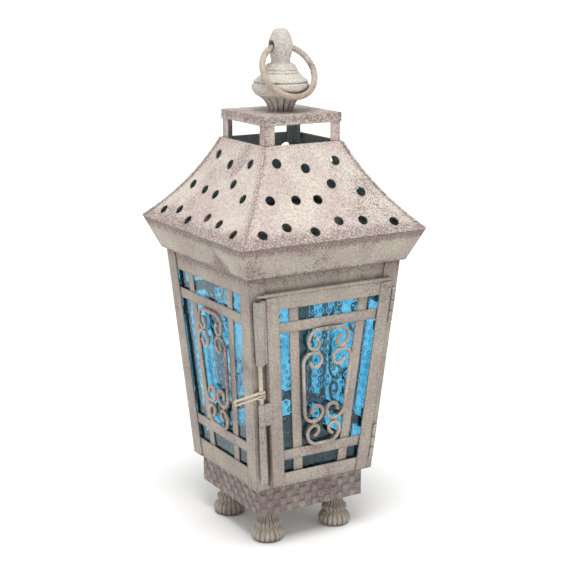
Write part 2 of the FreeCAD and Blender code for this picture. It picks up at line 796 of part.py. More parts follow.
def upper_sleeve():
    """Long rolled sleeve on the door's folded edge."""
    frame = bolt_frame(upper_sleeve_low)
    roll, bore = tube("upper_sleeve", frame, UPPER_SLEEVE_RADIUS, BOLT_BORE, "upper_sleeve_length")
    web = box_at("upper_sleeve_web", frame, (bolt_bore, 0, -gauge), "upper_sleeve_length",
                 Length="upper_sleeve_wall + sleeve_gap", Height="2 * gauge")
    return cut("upper_sleeve_bored", fuse("upper_sleeve_shape", [roll, web]), bore)


def lower_sleeve():
    """Short rolled sleeve with a flap soldered on the face of the door."""
    frame = bolt_frame(lower_sleeve_low)
    outside = BOLT_BORE + " + lower_sleeve_wall"
    roll, bore = tube("lower_sleeve", frame, outside, BOLT_BORE, "lower_sleeve_length")
    flap_corner = (bolt_bore, 0, door_front - bolt_off_face)
    flap = box_at("lower_sleeve_flap", frame, flap_corner, "lower_sleeve_length",
                  Length="upper_sleeve_wall + sleeve_gap + flap_width", Height="flap_gauge")
    rounding = doc.addObject("Part::Fillet", "lower_sleeve_flap_rounded")
    rounding.Base = flap
    doc.recompute()
    far_corner = max(range(len(flap.Shape.Edges)),
                     key=lambda i: corner_score(flap, frame, flap.Shape.Edges[i]))
    rounding.Edges = [(far_corner + 1, size("flap_corner_radius"), size("flap_corner_radius"))]
    return cut("lower_sleeve_bored", fuse("lower_sleeve_shape", [roll, rounding]), bore)


def corner_score(box, frame, edge):
    """How far an edge that stands out of the face lies along and across the frame."""
    points = [frame.inverse().multVec(vertex.Point) for vertex in edge.Vertexes]
    if abs(points[0].x - points[1].x) + abs(points[0].y - points[1].y) > 0.01:
        return -1000.0
    return points[0].x + points[0].y


def bolt():
    """Straight rod with a hairpin handle bent from one wire."""
    tip = keeper_high + size("bolt_tip_gap")
    along = bolt_frame(tip) * Placement(Vector(0, 0, 0), ALONG_EDGE)
    rod = primitive("Cylinder", "bolt_rod", along, Radius="bolt_radius",
                    Height=str(upper_sleeve_low + size("bolt_tuck") - tip))
    bend = size("handle_bend_radius")
    moves = [(size("handle_length"),), (bend, 180), (size("handle_length"),)]
    hairpin_shape = sweep(bent_path((0, 0), 180.0 + size("handle_slope"), moves), size("handle_wire_radius"))
    hairpin = feature("bolt_hairpin", hairpin_shape, bolt_frame(lower_sleeve_high + size("handle_rise")))
    return fuse("bolt_shape", [rod, hairpin])


node("bolt_keeper", keeper())
node("upper_bolt_sleeve", upper_sleeve())
node("lower_bolt_sleeve", lower_sleeve())
node("door_bolt", bolt())


# ---------------------------------------------------------------------------------------------
# Cornice and pierced roof
# ---------------------------------------------------------------------------------------------

def cornice():
    """Flared skirt under the eaves with a lip that sits on the body."""
    lip_top = body_top + gauge
    skirt_outside = frustum("cornice_outside", body_top, eave_z, CORNICE_HALF, EAVE_HALF)
    skirt_inside = frustum("cornice_inside", lip_top, eave_z + margin, CORNICE_HALF + " - gauge",
                           EAVE_HALF + " - gauge")
    mouth_half = CORNICE_HALF + " - gauge - cornice_lip"
    mouth = frustum("cornice_mouth", body_top - margin, lip_top + margin, mouth_half, mouth_half)
    return cut("cornice_open", cut("cornice_skirt", skirt_outside, skirt_inside), mouth)


node("cornice", cornice())

ROOF_CHORD_SQUARED = "((%s - roof_top_half)^2 + roof_height^2)" % EAVE_HALF
ROOF_RADIUS = "(%s / (8 * roof_sag) + roof_sag / 2)" % ROOF_CHORD_SQUARED
roof_run = eave_half - size("roof_top_half")
roof_chord = math.hypot(roof_run, size("roof_height"))
roof_radius = roof_chord ** 2 / (8 * size("roof_sag")) + size("roof_sag") / 2
centre_offset = roof_radius - size("roof_sag")
roof_axis_out = (eave_half + size("roof_top_half")) / 2 + centre_offset * size("roof_height") / roof_chord
roof_axis_z = (eave_z + roof_top) / 2 + centre_offset * roof_run / roof_chord


def roof_half(z):
    """Half width of the roof's outer surface at a height."""
    return roof_axis_out - math.sqrt(roof_radius ** 2 - (z - roof_axis_z) ** 2)


# Vent holes of one roof side: (share of the half width, share of the roof's height).
PUNCH_START = 3.0
PUNCH_PATTERN = (
    (-0.68, 0.81), (-0.09, 0.735), (0.585, 0.79),
    (-0.755, 0.44), (-0.36, 0.42), (-0.03, 0.405), (0.29, 0.55), (0.69, 0.44),
    (-0.80, 0.12), (-0.52, 0.165), (-0.195, 0.10), (0.13, 0.175), (0.42, 0.155), (0.765, 0.11),
)


def roof_panel(side):
    """One curved roof side, mitred along its corners and punched."""
    name = "roof_panel_" + side
    axis_place = Placement(Vector(-eave_half - margin, -roof_axis_out, roof_axis_z),
                           Rotation(Vector(0, 1, 0), 90.0))
    outer = primitive("Cylinder", name + "_face", axis_place, Radius=ROOF_RADIUS,
                      Height="2 * (%s + cut_margin)" % EAVE_HALF)
    inner = primitive("Cylinder", name + "_sheet", axis_place, Radius=ROOF_RADIUS + " + gauge",
                      Height="2 * (%s + cut_margin)" % EAVE_HALF)
    mitre = primitive("Wedge", name + "_mitre", Placement(Vector(0, 0, eave_z), Rotation()),
                      Ymin="-" + EAVE_HALF, Ymax="0", Xmin="-" + EAVE_HALF, Xmax=EAVE_HALF,
                      X2min="0", X2max="0",
                      Zmin="0", Z2min="0", Zmax="roof_height", Z2max="roof_height")
    punches = []
    for number, (across, up) in enumerate(PUNCH_PATTERN, start=1):
        z = eave_z + up * size("roof_height")
        out = roof_half(z)
        inward = Vector(0, roof_axis_out - out, z - roof_axis_z).normalize()
        start = Vector(across * out, -out, z) - inward * PUNCH_START
        punches.append(primitive("Cylinder", "%s_punch_%d" % (name, number),
                                 Placement(start, Rotation(Z_AXIS, inward)),
                                 Radius="vent_hole_radius", Height="6 + gauge"))
    sheet = common(name + "_blank", cut(name + "_curve", inner, outer), mitre)
    panel = cut(name + "_punched", sheet, fuse(name + "_punches", punches))
    panel.Placement = turned(SIDES[side])
    return panel


for side in SIDES:
    node("roof_panel_" + side, roof_panel(side))


def seam_point(level, lift):
    """Point that stands off the roof's corner line by lift, square to that line."""
    step = 0.5 * gauge
    lean = math.sqrt(2) * (roof_half(level + step) - roof_half(level - step)) / (2 * step)
    length = math.hypot(1.0, lean)
    out = roof_half(level) + lift / length / math.sqrt(2)
    return Vector(out, -out, level - lift * lean / length)


def roof_seams():
    """Raised bead that lies along each corner of the roof, from the eave to the top edge."""
    radius = size("seam_radius")
    levels = (eave_z + 2 * radius, (eave_z + roof_top) / 2, roof_top - 2 * radius)
    lift = radius + clearance / 5
    bead = sweep([Part.Arc(*[seam_point(level, lift) for level in levels]).toShape()], radius)
    beads = []
    for angle in CORNERS.values():
        copy = bead.copy()
        copy.rotate(Vector(0, 0, 0), Z_AXIS, angle)
        beads.append(copy)
    return feature("roof_seam_beads", Part.makeCompound(beads))


node("roof_seams", roof_seams())


# ---------------------------------------------------------------------------------------------
# Vent posts and cap
# ---------------------------------------------------------------------------------------------

# The posts stand just inside the roof's top edge, and the cap's lip closes round them.
top_slope = (roof_top - roof_axis_z) / roof_radius
VENT_POST_HALF = "(roof_top_half - %s * gauge)" % round(1.0 / math.sqrt(1 - top_slope ** 2), 3)
CAP_HALF = "(%s + gauge)" % VENT_POST_HALF


def vent_post(name, angle):
    """Small angle post that holds the cap above the roof."""
    bottom = roof_top - size("vent_post_tuck")
    height = "vent_post_tuck + vent_gap + cap_height - gauge"
    outside = primitive("Box", name + "_outside", None,
                        Length="vent_post_arm", Width="vent_post_arm", Height=height)
    inside = primitive("Box", name + "_inside", None, Length="vent_post_arm", Width="vent_post_arm",
                       Height=height + " + 2 * cut_margin")
    half = size("roof_top_half") - round(1.0 / math.sqrt(1 - top_slope ** 2), 3) * gauge
    corner = Vector(half - size("vent_post_arm"), -half, bottom)
    outside.Placement = turned(angle) * Placement(corner, Rotation())
    inside.Placement = turned(angle) * Placement(corner + Vector(-gauge, gauge, -1.0), Rotation())
    return cut(name + "_fold", outside, inside)


node("vent_posts", group("vent_posts_group", [vent_post("vent_post_" + corner, angle)
                                             for corner, angle in CORNERS.items()]))

cap_block = frustum("cap_block", cap_bottom, cap_top, CAP_HALF, CAP_HALF)
cap_hollow = frustum("cap_hollow", cap_bottom - margin, cap_top - gauge, VENT_POST_HALF, VENT_POST_HALF)
stud_hole = disc("stud_hole", "stud_radius", "4 * gauge", cap_top - 2 * gauge)
node("vent_cap", cut("vent_cap_drilled", cut("vent_cap_tray", cap_block, cap_hollow), stud_hole))


# ---------------------------------------------------------------------------------------------
# Finial, its nut and the hanging ring
# ---------------------------------------------------------------------------------------------

# Turned stages of the finial above the cap: (bottom, top, radius at the bottom, radius at the top).
FINIAL_STAGES = (
    (0.0, 5.0, 9.2, 11.0),
    (5.0, 9.0, 11.0, 13.2),
    (9.0, 11.8, 13.2, 18.0),
    (11.8, 13.0, 19.0, 19.0),
    (13.0, 21.4, 17.5, 17.5),
    (21.4, 22.8, 19.1, 19.1),
    (22.8, 27.2, 18.2, 14.2),
    (27.2, 30.2, 12.6, 12.6),
    (30.2, 34.0, 12.2, 8.4),
    (34.0, 38.0, 7.2, 7.2),
)
BEAD_LEVEL = 17.2
BULB_LEVEL = 47.2

bead_z = cap_top + BEAD_LEVEL
eye_z = cap_top + BULB_LEVEL
wire = size("ring_wire_radius")
EYE_GAP = 0.25
DRILL_REACH = 12.0
DRILL_WIDTH = 2.6


def ring_eye():
    """Hourglass hole through the bulb that lets the curved ring turn all the way round."""
    sideways = Rotation(Vector(0, 1, 0), 90.0)
    drill = primitive("Cylinder", "eye_drill", Placement(Vector(-DRILL_REACH, 0, eye_z), sideways),
                      Radius="%s * ring_wire_radius" % DRILL_WIDTH, Height="2 * %s" % DRILL_REACH)
    core = primitive("Torus", "eye_core", Placement(Vector(0, 0, eye_z), sideways),
                     Radius1="ring_radius + %s" % EYE_GAP, Radius2="ring_radius - ring_wire_radius")
    return cut("eye_hourglass", drill, core)


def finial():
    """Cast finial: flared base, rounded bead, stepped cone and an egg-shaped bulb with an eye."""
    shapes = []
    for number, (low, high, low_radius, high_radius) in enumerate(FINIAL_STAGES, start=1):
        name = "finial_stage_%d" % number
        place = Placement(Vector(0, 0, cap_top + low), Rotation())
        if low_radius == high_radius:
            stage = primitive("Cylinder", name, place, Radius=str(low_radius), Height=str(high - low))
        else:
            stage = primitive("Cone", name, place, Radius1=str(low_radius), Radius2=str(high_radius),
                              Height=str(high - low))
        shapes.append(stage)
    shapes.append(primitive("Torus", "finial_bead", Placement(Vector(0, 0, bead_z), Rotation()),
                            Radius1="bead_radius", Radius2="bead_round"))
    shapes.append(primitive("Ellipsoid", "finial_bulb", Placement(Vector(0, 0, eye_z), Rotation()),
                            Radius1="bulb_half_height", Radius2="bulb_radius"))
    stud_length = "gauge + nut_height + cut_margin"
    stud_bottom = cap_top - gauge - size("nut_height") - margin
    shapes.append(disc("finial_stud", "stud_radius", stud_length, stud_bottom))
    return cut("finial_cast", fuse("finial_solid", shapes), ring_eye())


node("finial", finial())

nut_bottom = cap_top - gauge - size("nut_height")
nut_blank = primitive("Prism", "nut_blank", Placement(Vector(0, 0, nut_bottom), Rotation()),
                      Circumradius="nut_width / sqrt(3)", Height="nut_height")
nut_blank.Polygon = 6
nut_bore = disc("nut_bore", "stud_radius", "nut_height + 2 * cut_margin", nut_bottom - margin)
node("finial_nut", cut("finial_nut_tapped", nut_blank, nut_bore))


# Tilts that the search for the ring's rest tries, in degrees, and how far round and up it looks.
FIRST_TILT = 10.0
LAST_TILT = 80.0
TILT_STEP = 0.05
HALF_TURN = 180
BEAD_REACH = 12.0


def ring_rest_tilt():
    """Tilt of the ring from hanging straight down, where it leans on the bead with a small gap."""
    reach = wire + size("bead_round") + clearance
    tilt = FIRST_TILT
    while tilt < LAST_TILT:
        slope = math.radians(tilt)
        nearest = math.inf
        for step in range(HALF_TURN + 1):
            turn = math.radians(step)
            across = size("ring_radius") * math.sin(turn)
            along = size("ring_radius") * (1 - math.cos(turn))
            out = math.hypot(across, along * math.sin(slope))
            z = eye_z - along * math.cos(slope)
            if z < bead_z + BEAD_REACH:
                nearest = min(nearest, math.hypot(out - size("bead_radius"), z - bead_z))
        if nearest >= reach:
            return tilt
        tilt += TILT_STEP
    raise ValueError("the ring can't clear the bead")


ring_tilt = ring_rest_tilt()
ring_place = Placement(Vector(0, 0, eye_z), Rotation(X_AXIS, -ring_tilt))
hang = Placement(Vector(0, 0, -size("ring_radius")), Rotation(X_AXIS, 90.0))
node("hanging_ring", primitive("Torus", "hanging_ring_wire", ring_place * hang,
                               Radius1="ring_radius", Radius2="ring_wire_radius"))


# ---------------------------------------------------------------------------------------------
# Check and write
# ---------------------------------------------------------------------------------------------

doc.recompute()
for thing in doc.Objects:
    if "Invalid" in thing.State or "Error" in thing.State:
        raise ValueError("%s did not recompute: %s" % (thing.Name, thing.State))
for label, thing in nodes.items():
    if thing.Shape.isNull() or not thing.Shape.isValid() or not thing.Shape.Solids:
        raise ValueError("%s has no valid solid" % label)

hinge_line = hinge_frame(0.0)
bolt_line = bolt_frame(0.0)
print("hinge point", hinge_line.Base, "axis", hinge_line.Rotation.multVec(Vector(0, 1, 0)))
print("bolt axis", bolt_line.Rotation.multVec(Vector(0, 1, 0)))
print("ring pivot", Vector(0, 0, eye_z), "rest tilt", round(ring_tilt, 2))
print("nodes", len(nodes), "candle cup top", round((floor_top + size("cup_height") + size("rim_radius")), 2))

os.makedirs("parts", exist_ok=True)
for label, thing in nodes.items():
    thing.Shape.exportStep(os.path.join("parts", label + ".step"))
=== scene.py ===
"""Candle lantern: painted sheet, cast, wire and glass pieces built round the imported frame."""

import json
import logging
import math
from dataclasses import dataclass
from enum import Enum
from typing import Callable, Sequence

import bmesh
import bpy
from mathutils import Matrix, Vector, noise

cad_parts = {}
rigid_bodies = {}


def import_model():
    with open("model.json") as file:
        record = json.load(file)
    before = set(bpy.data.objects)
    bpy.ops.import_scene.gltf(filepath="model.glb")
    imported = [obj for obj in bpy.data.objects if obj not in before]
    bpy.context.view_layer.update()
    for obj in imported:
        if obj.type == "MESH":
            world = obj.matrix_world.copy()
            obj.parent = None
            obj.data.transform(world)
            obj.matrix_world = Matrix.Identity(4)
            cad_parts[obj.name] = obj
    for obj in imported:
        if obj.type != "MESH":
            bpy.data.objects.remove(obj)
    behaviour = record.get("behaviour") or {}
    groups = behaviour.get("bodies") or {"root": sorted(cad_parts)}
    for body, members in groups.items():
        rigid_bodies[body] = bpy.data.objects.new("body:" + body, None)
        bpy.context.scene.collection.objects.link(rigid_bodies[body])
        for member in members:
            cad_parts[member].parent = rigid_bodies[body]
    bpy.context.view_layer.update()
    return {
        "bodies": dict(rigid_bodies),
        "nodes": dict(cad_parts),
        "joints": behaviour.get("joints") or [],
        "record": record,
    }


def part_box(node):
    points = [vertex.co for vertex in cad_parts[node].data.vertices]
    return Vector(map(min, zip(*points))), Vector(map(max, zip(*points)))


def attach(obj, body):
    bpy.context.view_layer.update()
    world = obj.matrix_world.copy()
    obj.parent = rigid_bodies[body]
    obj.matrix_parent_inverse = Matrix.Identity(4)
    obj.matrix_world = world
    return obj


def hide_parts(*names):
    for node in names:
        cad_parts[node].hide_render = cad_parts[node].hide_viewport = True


LOG = logging.getLogger("lantern")
MM = 0.001
SHARP_ANGLE = math.radians(38.0)
WELD_DISTANCE = 2e-6

Colour = tuple[float, float, float]
Point2 = tuple[float, float]
Placer = Callable[[float, float, float], Vector]


class Body(Enum):
    """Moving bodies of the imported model."""

    HOUSING = "housing"
    DOOR = "door"
    BOLT = "bolt"
    RING = "ring"


class Slot(Enum):
    """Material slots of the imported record."""

    SHEET = "painted_sheet"
    CASTING = "painted_castings"
    WIRE = "painted_wire"
    GLASS = "blue_glass"
    CLIP = "tinned_clips"
    STEEL = "plain_steel"


class Side(Enum):
    """The four sides, by their turn about the upright axis in degrees."""

    FRONT = 0.0
    RIGHT = 90.0
    BACK = 180.0
    LEFT = 270.0

    @property
    def word(self) -> str:
        """Name of the side as the nodes spell it."""
        return self.name.lower()

    @property
    def turn(self) -> Matrix:
        """Rotation from the front side to this one."""
        return Matrix.Rotation(math.radians(self.value), 3, "Z")


# ---------------------------------------------------------------- node graphs


class Graph:
    """Adds and joins nodes in one tree."""

    def __init__(self, tree: bpy.types.NodeTree) -> None:
        """Keeps the tree.

        Args:
            tree: shader or geometry tree that gets the nodes.
        """
        self.tree = tree

    def add(self, kind: str, **settings: object) -> bpy.types.Node:
        """Adds a node.

        Args:
            kind: Blender's type name of the node.
            settings: properties to set on it.

        Returns:
            The new node.
        """
        node = self.tree.nodes.new(kind)
        for name, value in settings.items():
            setattr(node, name, value)
        return node

    def plug(self, value: object, socket: bpy.types.NodeSocket) -> None:
        """Links a socket or sets a plain value.

        Args:
            value: an output socket, or the value itself.
            socket: the input that takes it.
        """
        if isinstance(value, bpy.types.NodeSocket):
            self.tree.links.new(value, socket)
        else:
            socket.default_value = value

    def math(self, operation: str, *values: object) -> bpy.types.NodeSocket:
        """Adds one sum on numbers.

        Args:
            operation: name of the sum.
            values: its operands.

        Returns:
            The result's socket.
        """
        node = self.add("ShaderNodeMath", operation=operation)
        for value, socket in zip(values, node.inputs):
            self.plug(value, socket)
        return node.outputs[0]

    def vector(self, operation: str, *values: object) -> bpy.types.NodeSocket:
        """Adds one sum on vectors.

        Args:
            operation: name of the sum.
            values: its operands.

        Returns:
            The result's socket.
        """
        node = self.add("ShaderNodeVectorMath", operation=operation)
        sockets = [s for s in node.inputs if s.enabled]
        for value, socket in zip(values, sockets):
            self.plug(value, socket)
        number = operation in ("DOT_PRODUCT", "LENGTH", "DISTANCE")
        return node.outputs["Value" if number else "Vector"]

    def ramp(
        self, value: object, start: float, end: float, low: float = 0.0, high: float = 1.0
    ) -> bpy.types.NodeSocket:
        """Eases a number from one level to another.

        Args:
            value: the number.
            start: where the ease starts.
            end: where it ends.
            low: result at the start.
            high: result at the end.

        Returns:
            The eased number's socket.
        """
        node = self.add("ShaderNodeMapRange", interpolation_type="SMOOTHSTEP")
        for given, socket in zip((value, start, end, low, high), node.inputs):
            self.plug(given, socket)
        return node.outputs[0]

    def noise(
        self, where: object, scale: float, detail: float = 2.0, colour: bool = False
    ) -> bpy.types.NodeSocket:
        """Adds a soft random field.

        Args:
            where: position that it reads.
            scale: cells per metre.
            detail: octaves.
            colour: whether the colour output is wanted.

        Returns:
            The field's socket.
        """
        node = self.add("ShaderNodeTexNoise")
        self.plug(where, node.inputs["Vector"])
        self.plug(scale, node.inputs["Scale"])
        self.plug(detail, node.inputs["Detail"])
        return node.outputs[1 if colour else 0]

    def split(self, vector: object) -> tuple[bpy.types.NodeSocket, ...]:
        """Gives a vector's three parts.

        Args:
            vector: the vector's socket.

        Returns:
            Sockets of x, y and z.
        """
        node = self.add("ShaderNodeSeparateXYZ")
        self.plug(vector, node.inputs[0])
        return tuple(node.outputs)

    def combine(self, x: object, y: object, z: object) -> bpy.types.NodeSocket:
        """Makes a vector.

        Args:
            x: first part.
            y: second part.
            z: third part.

        Returns:
            The vector's socket.
        """
        node = self.add("ShaderNodeCombineXYZ")
        for value, socket in zip((x, y, z), node.inputs):
            self.plug(value, socket)
        return node.outputs[0]


class FinishGraph(Graph):
    """Shader tree of one finish."""

    def __init__(self, name: str) -> None:
        """Starts a material.

        Args:
            name: name of the finish.
        """
        self.material = bpy.data.materials.new(name)
        self.material.use_nodes = True
        super().__init__(self.material.node_tree)
        self.tree.nodes.clear()
        self.shader = self.add("ShaderNodeBsdfPrincipled")
        output = self.add("ShaderNodeOutputMaterial")
        self.plug(self.shader.outputs[0], output.inputs["Surface"])
        self.place = self.add("ShaderNodeTexCoord").outputs["Object"]

    def set(self, **values: object) -> None:
        """Sets or links inputs of the shader.

        Args:
            values: socket names, with _ for a space, and their values.
        """
        for name, value in values.items():
            self.plug(value, self.shader.inputs[name.replace("_", " ")])

    def mix(self, share: object, first: object, second: object, blend: str = "MIX") -> bpy.types.NodeSocket:
        """Mixes two colours.

        Args:
            share: share of the second colour.
            first: first colour.
            second: second colour.
            blend: how they are mixed.

        Returns:
            The mixed colour's socket.
        """
        node = self.add("ShaderNodeMix", data_type="RGBA", blend_type=blend)
        self.plug(share, node.inputs[0])
        self.plug(first if not isinstance(first, tuple) else (*first, 1.0), node.inputs[6])
        self.plug(second if not isinstance(second, tuple) else (*second, 1.0), node.inputs[7])
        return node.outputs[2]

    def bump(self, height: object, distance: float, strength: float = 1.0) -> bpy.types.NodeSocket:
        """Turns a height into a normal.

        Args:
            height: height between 0 and 1.
            distance: height of one unit in metres.
            strength: share of the effect.

        Returns:
            The normal's socket.
        """
        node = self.add("ShaderNodeBump")
        self.plug(strength, node.inputs["Strength"])
        self.plug(distance, node.inputs["Distance"])
        self.plug(height, node.inputs["Height"])
        return node.outputs[0]

    def edge_wear(self, radius: float) -> bpy.types.NodeSocket:
        """Finds folds and edges, where a rounded normal leaves the true one.

        Args:
            radius: how far from the edge it reaches, in metres.

        Returns:
            A number that grows towards the edges.
        """
        rounded = self.add("ShaderNodeBevel", samples=6)
        self.plug(radius, rounded.inputs["Radius"])
        true = self.add("ShaderNodeNewGeometry").outputs["True Normal"]
        along = self.vector("DOT_PRODUCT", rounded.outputs[0], true)
        return self.math("SUBTRACT", 1.0, along)

    def hollow(self, distance: float) -> bpy.types.NodeSocket:
        """Finds corners and grooves by occlusion, for a dark wash that also paints the shade there.

        Args:
            distance: how far it looks for something near, in metres.

        Returns:
            A number that grows in hollows.
        """
        near = self.add("ShaderNodeAmbientOcclusion", samples=8)
        self.plug(distance, near.inputs["Distance"])
        return self.math("SUBTRACT", 1.0, near.outputs["AO"])


class ShapeTree(Graph):
    """Geometry Nodes tree with named sizes, ended by Realize Instances and Set Material."""

    def __init__(self, name: str, **sizes: str) -> None:
        """Makes the tree and its inputs.

        Args:
            name: what the tree makes.
            sizes: input names, with _ for a space, and their socket kinds.
        """
        tree = bpy.data.node_groups.new(name, "GeometryNodeTree")
        super().__init__(tree)
        tree.interface.new_socket(name="Shape", in_out="INPUT", socket_type="NodeSocketGeometry")
        self.keys: dict[str, str] = {}
        for label, kind in {**sizes, "Finish": "Material"}.items():
            item = tree.interface.new_socket(
                name=label.replace("_", " "), in_out="INPUT", socket_type="NodeSocket" + kind
            )
            self.keys[label] = item.identifier
        tree.interface.new_socket(name="Shape", in_out="OUTPUT", socket_type="NodeSocketGeometry")
        self.entry = self.add("NodeGroupInput")
        self.exit = self.add("NodeGroupOutput")
        self.shape = self.entry.outputs["Shape"]

    def size(self, label: str) -> bpy.types.NodeSocket:
        """Gives an input of the tree by its name.

        Args:
            label: the input's name, with _ for a space.

        Returns:
            Its socket.
        """
        return self.entry.outputs[label.replace("_", " ")]

    def step(self, kind: str, inputs: dict[str, object], **settings: object) -> bpy.types.NodeSocket:
        """Adds a geometry node and joins its inputs.

        Args:
            kind: Blender's type name of the node.
            inputs: input names and what they take.
            settings: properties of the node.

        Returns:
            Its first output.
        """
        node = self.add(kind, **settings)
        for name, value in inputs.items():
            self.plug(value, next(s for s in node.inputs if s.name == name and s.enabled))
        return next(s for s in node.outputs if s.enabled)

    def attribute(self, name: str, kind: str = "FLOAT") -> bpy.types.NodeSocket:
        """Reads a named attribute.

        Args:
            name: the attribute's name.
            kind: its data type.

        Returns:
            Its socket.
        """
        return self.step("GeometryNodeInputNamedAttribute", {"Name": name}, data_type=kind)

    def keep_mark(
        self, shape: bpy.types.NodeSocket, name: str, amount: bpy.types.NodeSocket
    ) -> bpy.types.NodeSocket:
        """Stores on each point how much of a mark it carries, for the finish to read.

        Args:
            shape: the geometry.
            name: the mark's name.
            amount: the mark from 0 to 1.

        Returns:
            The geometry with it.
        """
        return self.step(
            "GeometryNodeStoreNamedAttribute", {"Geometry": shape, "Name": name, "Value": amount},
            data_type="FLOAT", domain="POINT",
        )

    def end(self, shape: bpy.types.NodeSocket) -> "ShapeTree":
        """Ends the tree.

        Args:
            shape: the finished geometry.

        Returns:
            The tree itself.
        """
        real = self.step("GeometryNodeRealizeInstances", {"Geometry": shape})
        coated = self.step("GeometryNodeSetMaterial", {"Geometry": real, "Material": self.size("Finish")})
        self.plug(coated, self.exit.inputs[0])
        return self

    def make(self, start: bpy.types.Mesh, finish: bpy.types.Material, **values: object) -> bpy.types.Mesh:
        """Runs the tree on a mesh and keeps the result as a plain mesh.

        Args:
            start: mesh that the tree starts from.
            finish: material of the result.
            values: the tree's sizes.

        Returns:
            The new mesh.
        """
        carrier = bpy.data.objects.new("carrier", start)
        bpy.context.scene.collection.objects.link(carrier)
        modifier = carrier.modifiers.new("Shape", "NODES")
        modifier.node_group = self.tree
        for label, value in {**values, "Finish": finish}.items():
            modifier[self.keys[label]] = value
        graph = bpy.context.evaluated_depsgraph_get()
        made = bpy.data.meshes.new_from_object(
            carrier.evaluated_get(graph), preserve_all_data_layers=True, depsgraph=graph
        )
        carrier.modifiers.remove(modifier)
        bpy.data.objects.remove(carrier)
        bpy.data.meshes.remove(start)
        return made


# -------------------------------------------------------------------- finishes


